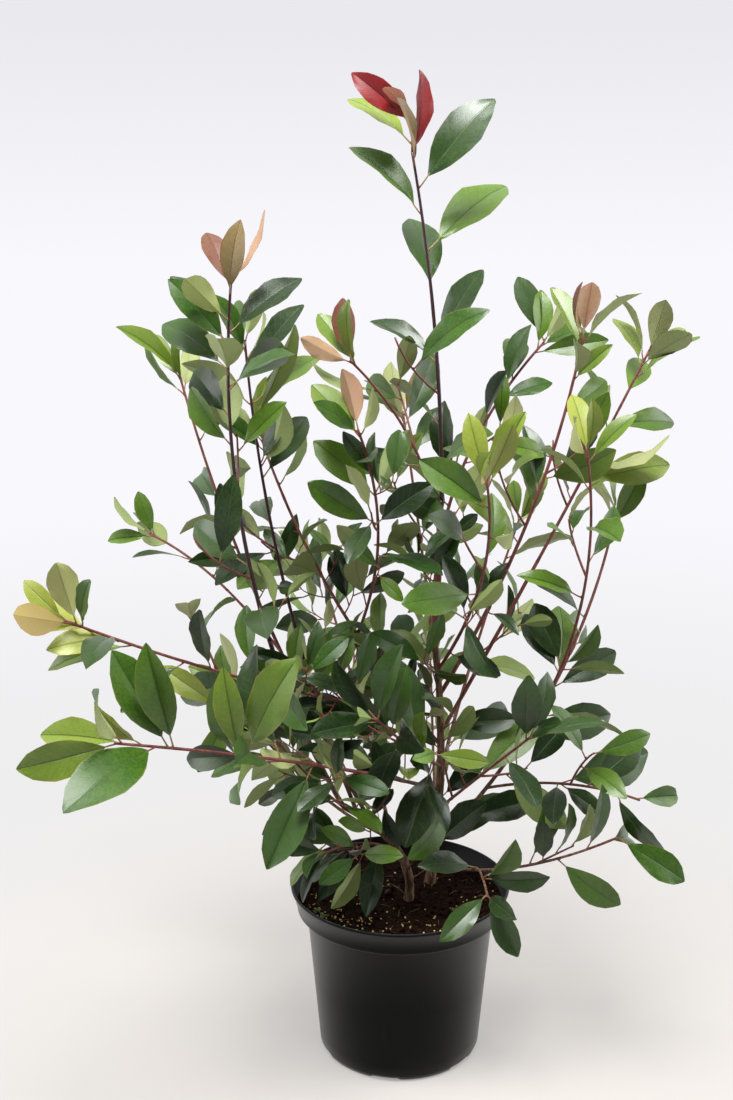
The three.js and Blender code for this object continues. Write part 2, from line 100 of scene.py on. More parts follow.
class Wire:
    """A value in a node tree that takes part in sums as a number does."""

    def __init__(self, nodes, socket):
        self.nodes = nodes
        self.socket = socket

    def math(self, operation, *values):
        return self.nodes.node("ShaderNodeMath", {"operation": operation}, dict(enumerate(values)))

    def __add__(self, other):
        return self.math("ADD", self, other)

    __radd__ = __add__

    def __mul__(self, other):
        return self.math("MULTIPLY", self, other)

    __rmul__ = __mul__

    def __sub__(self, other):
        return self.math("SUBTRACT", self, other)

    def __rsub__(self, other):
        return self.math("SUBTRACT", other, self)

    def __abs__(self):
        return self.math("ABSOLUTE", self)

    def __pow__(self, other):
        return self.math("POWER", self, other)

    def part(self):
        """What is left above the last whole number."""
        return self.math("FRACT", self)

    def at_least(self, least):
        return self.math("MAXIMUM", self, least)

    def rise(self, low, high, kind="SMOOTHSTEP"):
        """0 at low and 1 at high, and smoothly between them unless the kind is linear."""
        return self.nodes.node("ShaderNodeMapRange", {"interpolation_type": kind}, {0: self, 1: low, 2: high})

    def axis(self, name):
        """The X, Y or Z of a place."""
        return self.nodes.node("ShaderNodeSeparateXYZ", None, {0: self}, output=name)


class Nodes:
    """A node tree in the making."""

    def __init__(self, tree):
        self.tree = tree

    def node(self, kind, settings=None, values=None, output=0):
        """A new node's output, once its settings are made and its sockets are fed."""
        made = self.tree.nodes.new(kind)
        for name, value in (settings or {}).items():
            setattr(made, name, value)
        for socket, value in (values or {}).items():
            self.feed(made.inputs[socket], value)
        return Wire(self, made.outputs[output])

    def feed(self, socket, value):
        if isinstance(value, Wire):
            self.tree.links.new(value.socket, socket)
        else:
            socket.default_value = value

    def blend(self, share, first, second):
        """A colour between two others."""
        values = {0: share, 6: first, 7: second}
        return self.node("ShaderNodeMix", {"data_type": "RGBA"}, values, output=2)


class Finish(Nodes):
    """A material in the making, with a Principled shader whose plain values are set on its own sockets."""

    def __init__(self, name, **values):
        self.material = bpy.data.materials.new(name)
        self.material.use_nodes = True
        super().__init__(self.material.node_tree)
        self.shader = self.tree.nodes["Principled BSDF"]
        for socket, value in values.items():
            self.set(socket.replace("_", " "), value)

    def set(self, name, value):
        self.feed(self.shader.inputs[name], value)

    def place(self, stretch=(1, 1, 1)):
        """Object coordinates, stretched."""
        where = self.node("ShaderNodeTexCoord", output="Object")
        return self.node("ShaderNodeMapping", None, {"Vector": where, "Scale": stretch})

    def speckle(self, scale, detail, stretch=(1, 1, 1)):
        values = {"Vector": self.place(stretch), "Scale": scale, "Detail": detail}
        return self.node("ShaderNodeTexNoise", None, values | {"Roughness": SPECKLE_ROUGHNESS})

    def tone(self):
        """The tone that a piece keeps at each of its points."""
        return self.node("ShaderNodeAttribute", {"attribute_name": "tone"}, output="Fac")

    def bump(self, height, distance, strength):
        values = {"Height": height, "Distance": distance, "Strength": strength}
        self.set("Normal", self.node("ShaderNodeBump", None, values))


# Finishes between two colours. Name: scale of the grain, shares of the tone and the grain, first and second
# colour, least roughness, and how much the grain adds to it
MOTTLED = {
    "leaf_stalk": (60, 0.8, 0.3, rgb(116, 46, 42), rgb(128, 112, 66), 0.36, 0.2),
    "feed_grains": (700, 0.8, 0.3, rgb(166, 128, 62), rgb(214, 194, 132), 0.34, 0.25),
    "peat_fibres": (300, 0.7, 0.4, rgb(70, 46, 32), rgb(128, 96, 66), 0.8, 0),
    "weed_leaf": (200, 0.7, 0.4, rgb(58, 84, 24), rgb(126, 148, 54), 0.4, 0.2),
}
MOTTLED_DETAIL = 2.0


def mottled_finish(name, **values):
    scale, tone_share, grain_share, first, second, least, rise = MOTTLED[name]
    finish = Finish(name, **values)
    grain = finish.speckle(scale, MOTTLED_DETAIL)
    finish.set("Base Color", finish.blend(finish.tone() * tone_share + grain * grain_share, first, second))
    finish.set("Roughness", grain * rise + least if rise else least)
    return finish


# ---- Camera, light and floor ------------------------------------------------------------------------

IMAGE = {"height": 1100, "focal": 1450}  # pixels
CAMERA = {"place": (-0.043, -1.71, 1.074), "down": 13.6, "sensor": 36}  # metres, degrees below level, mm
CROWN_MIDDLE = Vector((0, 0, 0.6))  # where the lamps point, in metres
LAMPS = (  # name, place and size in metres, power
    ("lamp_over", (-0.15, -0.85, 3.0), 1.1, 130),
    ("lamp_left", (-2.2, -0.1, 1.3), 1.5, 34),
    ("lamp_right", (2.2, 0.1, 1.2), 1.5, 36),
)
# How strongly the paper lights the plant: a direction's share along the lean, plus the level
SKY = {"lean": (0.0, 0.55, 0.75), "level": 0.37, "least": 0.0}
PAPER_NEAR = rgb(239, 238, 239)
PAPER_FAR = rgb(249, 248, 253)
PAPER_TOP = rgb(234, 233, 238)
PAPER_HEIGHTS = (-0.04, 0.11)  # of a view's direction, over which the backdrop turns from far into top
PAPER_REACH = (1.0, 3.6)  # metres from the pot over which the floor's painted glow grows from dimmer to whiter
GLOW_REACH = (0.15, 1.1)  # metres from the pot over which the shaded floor turns into painted glow
GLOW_NEAR = 0.4  # share of painted glow in the floor right round the pot, which lightens the plant's shadow there
FLOOR = {"radius": 14, "sides": 96, "dust": 2.5, "shades": (rgb(173, 166, 158), rgb(182, 176, 168))}


def add_object(name, data):
    made = bpy.data.objects.new(name, data)
    bpy.context.scene.collection.objects.link(made)
    return made


def settle(made, name):
    """A bmesh as a smooth mesh."""
    mesh = bpy.data.meshes.new(name)
    made.to_mesh(mesh)
    made.free()
    mesh.shade_smooth()
    return mesh


def set_camera():
    data = bpy.data.cameras.new("camera")
    data.sensor_width = CAMERA["sensor"]
    data.lens = CAMERA["sensor"] * IMAGE["focal"] / IMAGE["height"]
    camera = add_object("camera", data)
    camera.location = CAMERA["place"]
    camera.rotation_euler = (math.radians(90 - CAMERA["down"]), 0, 0)
    bpy.context.scene.camera = camera


def add_lamp(name, place, size, power):
    """A soft square lamp that points at the middle of the crown."""
    data = bpy.data.lights.new(name, "AREA")
    data.size = size
    data.energy = power
    lamp = add_object(name, data)
    lamp.location = place
    lamp.rotation_euler = (CROWN_MIDDLE - lamp.location).to_track_quat("-Z", "Y").to_euler()


def light_studio():
    """White paper all round, dim on the camera's side and bright above and behind, and three soft lamps."""
    world = bpy.data.worlds.new("studio")
    world.use_nodes = True
    bpy.context.scene.world = world
    studio = Nodes(world.node_tree)
    where = studio.node("ShaderNodeTexCoord", output="Generated")
    # What the camera sees of the backdrop is painted darker towards the top: painted shade
    high = where.axis("Z").rise(*PAPER_HEIGHTS, "LINEAR")
    seen = studio.tree.nodes["Background"]
    studio.feed(seen.inputs["Color"], studio.blend(high, PAPER_FAR, PAPER_TOP))
    lean = studio.node("ShaderNodeVectorMath", {"operation": "DOT_PRODUCT"}, {0: where, 1: SKY["lean"]},
                       output="Value")
    strength = (lean + SKY["level"]).at_least(SKY["least"])
    glow = studio.node("ShaderNodeBackground", None, {"Strength": strength})
    ray = studio.node("ShaderNodeLightPath", output="Is Camera Ray")
    values = {0: ray, 1: glow, 2: Wire(studio, seen.outputs[0])}
    mixed = studio.node("ShaderNodeMixShader", None, values)
    studio.feed(studio.tree.nodes["World Output"].inputs["Surface"], mixed)
    for lamp in LAMPS:
        add_lamp(*lamp)


def lay_floor():
    """A pale round floor that glows as painted light: dimmer and mixed with the shaded floor round the pot,
    it turns into the backdrop's own colour far from the pot.
    """
    paper = Finish("pale_floor", Roughness=0.7)
    where = paper.node("ShaderNodeTexCoord", output="Object")
    far = paper.node("ShaderNodeVectorMath", {"operation": "LENGTH"}, {0: where}, output="Value")
    paper.set("Base Color", paper.blend(paper.speckle(FLOOR["dust"], 2.0), *FLOOR["shades"]))
    # Painted light: the floor's glow is dimmer right round the pot and whiter far off, and it fills in the
    # plant's shadow near the pot
    painted_glow_color = paper.blend(far.rise(*PAPER_REACH), PAPER_NEAR, PAPER_FAR)
    glow = paper.node("ShaderNodeEmission", None, {"Color": painted_glow_color})
    share = far.rise(*GLOW_REACH) * (1 - GLOW_NEAR) + GLOW_NEAR
    values = {0: share, 1: Wire(paper, paper.shader.outputs[0]), 2: glow}
    mixed = paper.node("ShaderNodeMixShader", None, values)
    paper.feed(paper.tree.nodes["Material Output"].inputs["Surface"], mixed)
    made = bmesh.new()
    bmesh.ops.create_circle(made, cap_ends=True, segments=FLOOR["sides"], radius=FLOOR["radius"])
    mesh = settle(made, "floor")
    mesh.materials.append(paper.material)
    floor = add_object("floor", mesh)


# ---- The plant's own sizes, in millimetres and degrees ----------------------------------------------

SOIL_TOP = 200
STEM_SINK = 5  # how far below the soil's level the stems start
CLEAR = 0.3  # between a bough and its foliage, and between the soil and the pot
LEAF_CLEAR = 0.4  # between a leaf or twig and what is in place
GOLDEN = 137.5  # turn round the limb from one leaf to the next
LEAF = {
    "length": 98,
    "width": 0.45,  # share of the length
    "thick": 1.8,
    "rings": ((0.3, 0.42), (0.7, 0.44)),  # share of the length, and half the width there
    "from": 0.03,  # first leaf, past the bare part
    "stalk": 15,
    "stalk_radius": 0.65,
    "stalk_keel": 1.8,  # depth of the stalk's lower edge, in its radii
    "lean": (64, 30, 9),  # off the limb at its foot and its tip, and how far it varies
    "turn_jitter": 16,
    "lift": (-0.04, 0.18, 0.1),  # rise at the foot and the tip, and how far it varies
    "face": {"ahead": 0.2, "up": 0.3, "out": 0.2, "light": 0.5, "jitter": 0.7, "rise": 0.3},
    "sag": (0.1, 0.26),
    "size": {"foot": 1.02, "young": 0.88, "tip": 0.72, "young_from": 0.75, "jitter": 0.13},
    "width_jitter": 0.1,
    "stalk_shrink": 0.45,
}
TIP_RADIUS = 1.7
FLUSH = {"leaves": 4, "from": 0.955, "top": 0.93, "young": 0.78}  # the close young leaves at a shoot's tip
TWIG = {
    "radii": (1.9, 1.5), "leaves": 3, "from": 0.05, "to": 0.7, "turn": 70, "bare": 0.3, "shrink": 0.35,
    "way": (0.66, 0.72, 0.16),  # ahead along the limb, away from it and up
    "even": False,  # whether the way is brought to length 1 first
    "bow": 0.1, "jitter": 0.12, "first": 0.7, "first_turn": 40, "leaf_size": 0.9, "age": 0.9,
    "steps": (0, 50, -50, 100, -100, 160),  # turns that are tried, one after the other
}
LEAF_STEPS = (0, 28, -28, 56, -56, 90, -90)
SHOOT_KEYS = 1000  # what a shoot's, a twig's and a leaf's random numbers start from
TWIG_KEYS = 700
TWIG_LEAF_KEYS = 100
KEYS_PER_TWIG = 20
SHOOT_ROD = (4, 4)  # sides and steps of the rod that stands for a shoot while the plant grows
TWIG_ROD = (3, 2)
FLARE = {"extra": 0.45, "height": 14}  # of a stem's foot

# name: foot, tip, bow, thick, thin
STEMS = {
    "stem_left": ((10, -6), (-73, 20, 318), (29, -8, 9), 5.4, 4.4),
    "stem_right": ((40, 44), (42, 22, 540), (11, 2, 0), 6.2, 3.9),
}

# name, limb it leaves, share of that limb, tip, bow, thick, bare share, leaves, twigs, twig length,
# turn, leaf size, and the colour of its young leaves. The turns came out of a comparison made by another
# program.
SHOOTS = (
    ("leader", "stem_right", 1, (9, 0, 1126), (19, 4, 0), 3.6, 0.3, 11, 1, 110, 260, 1.06, "red"),
    ("left_upright", "stem_left", 1, (-194, -65, 988), (-45, -46, 0), 3.6, 0.36, 11, 2, 100, 110, 0.95,
     "bronze"),
    ("left_inner", "stem_left", 0.9, (-192, 75, 907), (-22, -13, 0), 3, 0.4, 8, 1, 90, 160, 0.9, "mid"),
    ("left_outer", "stem_left", 0.78, (-278, 120, 855), (-20, 5, -10), 3, 0.52, 7, 1, 80, 100, 0.85, "fresh"),
    ("left_reach", "left_outer", 0.4, (-330, 165, 642), (0, 10, 16), 1.9, 0.4, 7, 0, 0, 170, 0.75, "mid"),
    ("left_low_back", "stem_left", 0.66, (-225, 150, 430), (0, 5, -32), 2.6, 0.4, 7, 1, 80, 340, 0.9,
     "fresh"),
    ("left_front", "stem_right", 0.7, (-366, -220, 636), (0, -10, -12), 2.6, 0.38, 10, 2, 90, 150, 0.9,
     "gold"),
    ("left_low_front", "stem_right", 0.4, (-300, -320, 535), (19, -8, 9), 2.8, 0.42, 9, 1, 70, 290, 1.15,
     "fresh"),
    ("inner_left", "stem_right", 0.58, (-177, 130, 774), (-21, -26, 0), 2.8, 0.46, 7, 1, 90, 150, 0.9,
     "fresh"),
    ("inner_front", "inner_left", 0.38, (-53, -60, 817), (25, 5, 0), 2.2, 0.3, 8, 1, 80, 220, 0.85, "bronze"),
    ("middle", "leader", 0.16, (-62, -30, 893), (28, 14, 8), 2.2, 0.34, 7, 1, 90, 50, 0.9, "bronze"),
    ("right_inner", "stem_right", 0.95, (180, 120, 900), (-44, 8, 10), 2.8, 0.34, 8, 2, 90, 190, 0.9, "mid"),
    ("right_near", "stem_right", 0.88, (89, -140, 773), (24, -12, 6), 2.4, 0.32, 8, 1, 90, 310, 0.9, "lime"),
    ("right_middle", "stem_right", 0.78, (208, -20, 921), (24, 0, 4), 3, 0.36, 10, 2, 90, 310, 0.9, "bronze"),
    ("right_outer", "stem_right", 0.63, (303, 70, 895), (2, -8, 0), 3, 0.46, 9, 1, 90, 190, 0.9, "fresh"),
    ("right_low", "stem_right", 0.17, (277, 110, 684), (28, -45, 0), 3.2, 0.46, 7, 1, 80, 160, 0.8, "fresh"),
    ("right_front", "right_low", 0.4, (200, -130, 806), (27, -18, 0), 2.2, 0.42, 8, 1, 80, 320, 0.8, "lime"),
    ("right_skirt", "right_low", 0.2, (287, -80, 369), (0, -20, 22), 2, 0.34, 7, 1, 70, 130, 0.85, "mid"),
    ("low_right", "stem_right", 0.09, (256, -110, 334), (-12, -37, -4), 2.2, 0.48, 6, 1, 60, 310, 0.85,
     "mid"),
    ("low_front", "low_right", 0.26, (104, -100, 252), (0, 4, 14), 1.6, 0, 4, 0, 0, 120, 0.8, "dark"),
    ("low_left", "stem_left", 0.5, (-92, -70, 296), (0, -6, 14), 2, 0, 5, 1, 60, 310, 0.85, "dark"),
    ("heart_front", "stem_right", 0.5, (-34, -150, 500), (10, -8, -10), 2.2, 0, 7, 1, 80, 260, 1, "dark"),
    ("heart_right", "stem_right", 0.32, (150, -110, 462), (-8, -4, -4), 2.2, 0, 7, 2, 80, 200, 0.95, "dark"),
    ("heart_left", "stem_left", 0.84, (-165, -95, 470), (10, -6, -20), 2, 0, 7, 1, 80, 80, 0.95, "fresh"),
    ("back_left", "stem_left", 0.58, (-110, 265, 575), (10, 20, -30), 2.8, 0.38, 7, 2, 90, 340, 0.9, "mid"),
    ("back_low", "stem_right", 0.24, (50, 290, 420), (0, 5, -20), 2.4, 0.36, 7, 1, 80, 40, 0.9, "fresh"),
    ("back_right", "stem_right", 0.46, (170, 265, 640), (-10, 10, -24), 2.8, 0.38, 8, 2, 90, 250, 0.9,
     "fresh"),
    ("back_middle", "stem_right", 0.74, (5, 210, 800), (5, 25, -20), 2.6, 0.35, 8, 2, 90, 180, 0.9, "bronze"),
)
SHOOT_WORDS = ("name", "parent", "at", "tip", "bow", "thick", "bare", "leaves", "twigs", "twig", "turn",
               "size", "young")


# ---- Limbs ------------------------------------------------------------------------------------------

LENGTH_STEPS = 200  # in which a limb's length is measured
STRAIGHT_SIDE = (1, 0.3, 0)  # that a limb with no bow takes its side from
# How a row of random numbers starts from its key and goes on
NUMBERS = 2 ** 32
KEY_TIMES = 2654435761
NEXT_TIMES = 1664525
NEXT_PLUS = 1013904223


class Limb:
    """A curve from foot to tip whose middle stands bow off the straight line, thinning from thick to thin."""

    def __init__(self, foot, tip, bow, thick, thin, flare=0.0):
        self.foot = Vector(foot)
        self.tip = Vector(tip)
        self.control = (self.foot + self.tip) / 2 + 2 * Vector(bow)
        self.thick = thick
        self.thin = thin
        self.flare = flare
        chord = self.tip - self.foot
        across = chord.cross(Vector(bow))
        if across.length < 1:
            across = chord.cross(Vector(STRAIGHT_SIDE))
        self.across = across.normalized()
        steps = [self.point(i / LENGTH_STEPS) for i in range(LENGTH_STEPS + 1)]
        self.length = sum((b - a).length for a, b in zip(steps, steps[1:]))

    def point(self, t):
        return (1 - t) ** 2 * self.foot + 2 * t * (1 - t) * self.control + t * t * self.tip

    def ahead(self, t):
        way = (1 - t) * (self.control - self.foot) + t * (self.tip - self.control)
        return way.normalized()

    def radius(self, t):
        swell = 1 + self.flare * math.exp(-t * self.length / FLARE["height"])
        return lerp(self.thick, self.thin, t) * swell

    def away(self, t, degrees):
        """The direction square to the limb at an angle round it."""
        out = self.ahead(t).cross(self.across).normalized()
        angle = math.radians(degrees)
        return out * math.cos(angle) + self.across * math.sin(angle)


def make_draw(key):
    """Random numbers from 0 to 1 that are the same for the same key."""
    state = (key + 1) * KEY_TIMES % NUMBERS

    def draw():
        nonlocal state
        state = (state * NEXT_TIMES + NEXT_PLUS) % NUMBERS
        return state / NUMBERS

    draw()
    draw()
    return draw


def spread(draw):
    return draw() * 2 - 1


# ---- Room for each twig and leaf --------------------------------------------------------------------


class Room:
    """What is in place so far: a search tree and a box for each solid, and what it belongs to."""

    def __init__(self):
        self.trees = []
        self.owners = []
        self.low = np.empty((0, 3))
        self.high = np.empty((0, 3))

    def take(self, points, faces, owner):
        self.trees.append(BVHTree.FromPolygons(points, faces))
        self.owners.append(owner)
        corners = np.array(points)
        self.low = np.vstack((self.low, corners.min(axis=0)))
        self.high = np.vstack((self.high, corners.max(axis=0)))

    def free(self, number):
        """Give back the room that the solid of this number took."""
        self.low[number] = math.inf

    def meets(self, points, faces, owners):
        """Whether a solid cuts anything in place, apart from what belongs to its owners."""
        corners = np.array(points)
        near = np.all((self.low <= corners.max(axis=0)) & (self.high >= corners.min(axis=0)), axis=1)
        tree = BVHTree.FromPolygons(points, faces)
        for i in np.flatnonzero(near):
            if self.owners[i] not in owners and tree.overlap(self.trees[i]):
                return True
        return False


room = Room()


def ring_faces(rings, sides):
    """Faces between rings of corners that follow each other, with both ends closed."""
    faces = []
    for ring in range(rings - 1):
        for side in range(sides):
            here, after = ring * sides + side, ring * sides + (side + 1) % sides
            faces += [(here, after, after + sides), (here, after + sides, here + sides)]
    last = (rings - 1) * sides
    faces += [(0, i, i + 1) for i in range(1, sides - 1)]
    faces += [(last, last + i, last + i + 1) for i in range(1, sides - 1)]
    return faces


def tube_space(limb, start, end, sides, steps, margin=0.0):
    points = []
    for step in range(steps + 1):
        t = lerp(start, end, step / steps)
        ahead = limb.ahead(t)
        out = ahead.cross(limb.across).normalized()
        middle = limb.point(t) + ahead * (margin * ((step == steps) - (step == 0)))
        for side in range(sides):
            angle = 2 * math.pi * side / sides
            around = out * math.sin(angle) + limb.across * math.cos(angle)
            points.append(middle + around * (limb.radius(t) + margin))
    return points, ring_faces(steps + 1, sides)


def pressed_cone(leaf, rings, margin):
    """The solids' plain leaf: a three-sided cone pressed flat, its blade sagging to the tip."""
    points = []
    for level, (along, half, keel) in enumerate(rings):
        sag = leaf["sag"] * max(0, along) ** 2 / leaf["length"]
        middle = leaf["base"] + leaf["ahead"] * (along - (margin if level == 0 else 0))
        tip = level == len(rings) - 1
        for side, lift in ((0, -keel - margin), (1, margin), (-1, margin)):
            reach = 0 if tip else side * (half + margin)
            rise = margin if tip else lift
            points.append(middle + leaf["side"] * reach + leaf["face"] * (rise - sag))
    return points, ring_faces(len(rings), 3)


def leaf_rings(leaf):
    stalk = (LEAF["stalk_radius"], LEAF["stalk_radius"] * LEAF["stalk_keel"])
    rings = [(-leaf["stalk"], *stalk), (0, *stalk)]
    for at, half in LEAF["rings"]:
        rings.append((at * leaf["length"], half * leaf["width"], LEAF["thick"]))
    return rings + [(leaf["length"], 0, 0)]


def blade_space(leaf, margin):
    rings = leaf_rings(leaf)[1:]
    rings[-1] = (rings[-1][0] + margin, 0, 0)
    return pressed_cone(leaf, rings, margin)


def stalk_space(leaf, margin):
    limb = Limb(leaf["root"], leaf["base"], (0, 0, 0), LEAF["stalk_radius"], LEAF["stalk_radius"])
    return tube_space(limb, 0, 1, 3, 1, margin)


# ---- Growing ----------------------------------------------------------------------------------------


def grown_share(share):
    size = LEAF["size"]
    if share < size["young_from"]:
        return lerp(size["foot"], size["young"], share / size["young_from"])
    return lerp(size["young"], size["tip"], (share - size["young_from"]) / (1 - size["young_from"]))


def plan_leaf(limb, t, share, turn, size, key, light=LEAF["face"]["light"]):
    """Where a leaf on a limb at t stands, for its share of the way to the tip and its turn round the limb."""
    draw = make_draw(key)
    ahead_limb = limb.ahead(t)
    point = limb.point(t)
    away = limb.away(t, turn + LEAF["turn_jitter"] * spread(draw))
    foot, tip, jitter = LEAF["lean"]
    lean = math.radians(lerp(foot, tip, share * share) + jitter * spread(draw))
    ahead = ahead_limb * math.cos(lean) + away * math.sin(lean)
    foot, tip, jitter = LEAF["lift"]
    ahead = (ahead + UP * (lerp(foot, tip, share) + jitter * spread(draw))).normalized()
    outward = Vector((point.x, point.y, 0)).normalized()
    turned = LEAF["face"]
    face = ahead_limb * turned["ahead"] + UP * turned["up"] + outward * turned["out"]
    face.y -= light
    face.x += turned["jitter"] * spread(draw)
    face.y += turned["jitter"] * spread(draw)
    face.z += turned["rise"] * spread(draw)
    face = (face - ahead * face.dot(ahead)).normalized()
    length = LEAF["length"] * size * grown_share(share) * (1 + LEAF["size"]["jitter"] * spread(draw))
    stalk = LEAF["stalk"] * size * (1 - LEAF["stalk_shrink"] * share) + limb.radius(t)
    return {
        "root": point,
        "stalk": stalk,
        "base": point + ahead * stalk,
        "ahead": ahead,
        "side": face.cross(ahead),
        "face": face,
        "length": length,
        "width": length * LEAF["width"] * (1 + LEAF["width_jitter"] * spread(draw)),
        "sag": lerp(*LEAF["sag"], draw()),
        "key": key,
        "share": share,
    }


limbs = {}
leaves = []
twigs = []


def grow_leaf(owner, limb, t, share, turn, size, key, steps=LEAF_STEPS, wood=(),
              light=LEAF["face"]["light"]):
    """A leaf on the first side where its blade and stalk clear everything that is in place."""
    for step in steps:
        leaf = plan_leaf(limb, t, share, turn + step, size, key, light)
        if room.meets(*blade_space(leaf, LEAF_CLEAR), (None,)):
            continue
        if room.meets(*stalk_space(leaf, LEAF_CLEAR), (owner, *wood)):
            continue
        leaf["place"] = len(room.trees)
        room.take(*pressed_cone(leaf, leaf_rings(leaf), 0), owner)
        leaf["owner"] = owner
        leaf["limb"] = limb
        leaf["t"] = t
        leaves.append(leaf)
        return leaf
    return None


def grow_side_limb(owner, limb, t, turn, reach, kind, wood):
    """A side limb on the first side where nothing is in its way, and the step of its turn, or nothing."""
    foot = limb.point(t)
    ahead, aside, rise = kind["way"]
    for step in kind["steps"]:
        away = limb.away(t, turn + step)
        way = limb.ahead(t) * ahead + away * aside + UP * rise
        if kind["even"]:
            way.normalize()
        side = Limb(foot, foot + way * reach, away * (reach * kind["bow"]), *kind["radii"])
        if not room.meets(*tube_space(side, 0, 1, *TWIG_ROD, LEAF_CLEAR), wood):
            room.take(*tube_space(side, 0, 1, *TWIG_ROD), owner)
            return side, step
    return None, None


def grow_twig(shoot, index, number):
    """A side twig that leaves the shoot's stem and turns up."""
    share = (number + 0.5) / shoot["twigs"]
    t = lerp(shoot["bare"] + TWIG["from"], TWIG["to"], share)
    draw = make_draw(index * SHOOT_KEYS + TWIG_KEYS + number)
    reach = shoot["twig"] * (1 - TWIG["shrink"] * share) * (1 + TWIG["jitter"] * spread(draw))
    name, turn = shoot["name"], shoot["turn"] + TWIG["turn"] + GOLDEN * number
    twig, _ = grow_side_limb(name, limbs[name], t, turn, reach, TWIG, (name,))
    if twig:
        twigs.append(twig)
    return twig


def take_node(name):
    """A CAD node's own mesh, in millimetres, as something in place."""
    mesh = frame["nodes"][name].data
    points = [vertex.co / MM for vertex in mesh.vertices]
    room.take(points, [tuple(face.vertices) for face in mesh.polygons], name)


def grow_frame_plant():
    """The limbs, twigs and leaves of the solids, in the order in which the solids were grown."""
    take_node("pot")
    take_node("soil")
    for name, (foot, tip, bow, thick, thin) in STEMS.items():
        limbs[name] = Limb((*foot, SOIL_TOP - STEM_SINK), tip, bow, thick, thin, FLARE["extra"])
        take_node(name)
    shoots = [dict(zip(SHOOT_WORDS, row)) for row in SHOOTS]
    for shoot in shoots:
        foot = limbs[shoot["parent"]].point(shoot["at"])
        limb = Limb(foot, shoot["tip"], shoot["bow"], shoot["thick"], TIP_RADIUS)
        limbs[shoot["name"]] = limb
        start = 0
        if shoot["bare"] > 0:
            take_node("bough_" + shoot["name"])
            start = shoot["bare"] + CLEAR / limb.length
        room.take(*tube_space(limb, start, 1, *SHOOT_ROD), shoot["name"])
    grown = [[grow_twig(shoot, index, number) for number in range(shoot["twigs"])]
             for index, shoot in enumerate(shoots)]
    for index, shoot in enumerate(shoots):
        limb = limbs[shoot["name"]]
        old = shoot["leaves"] - min(FLUSH["leaves"], math.ceil(shoot["leaves"] / 2))
        for i in reversed(range(shoot["leaves"])):
            step = (i + 0.5) / old if i < old else (i - old + 0.5) / (shoot["leaves"] - old)
            share = LEAF["size"]["young_from"] * step if i < old else lerp(FLUSH["young"], 1, step)
            start = shoot["bare"] + LEAF["from"] if i < old else FLUSH["from"]
            t = lerp(start, FLUSH["top"] if i < old else 1, step)
            grow_leaf(shoot["name"], limb, t, share, shoot["turn"] + GOLDEN * i, shoot["size"],
                      index * SHOOT_KEYS + i)
    for index, shoot in enumerate(shoots):
        for number, twig in enumerate(grown[index]):
            if twig is None:
                continue
            for i in reversed(range(TWIG["leaves"])):
                share = (i + TWIG["first"]) / TWIG["leaves"]
                key = index * SHOOT_KEYS + TWIG_LEAF_KEYS + number * KEYS_PER_TWIG + i
                grow_leaf(shoot["name"], twig, lerp(TWIG["bare"], 1, share), share * TWIG["age"],
                          TWIG["first_turn"] + GOLDEN * (i + number), shoot["size"] * TWIG["leaf_size"], key)
    return shoots


# ---- Finer growth: late leaves, and short spurs in the heart of the crown ---------------------------

TIPS = {"leader_tip": ("leader", (6, -2, 1168), 1.4)}  # a shoot's newest growth: shoot, tip, radius there
TIP_BOW = (1, 0, 0)
TIP_START = 0.1

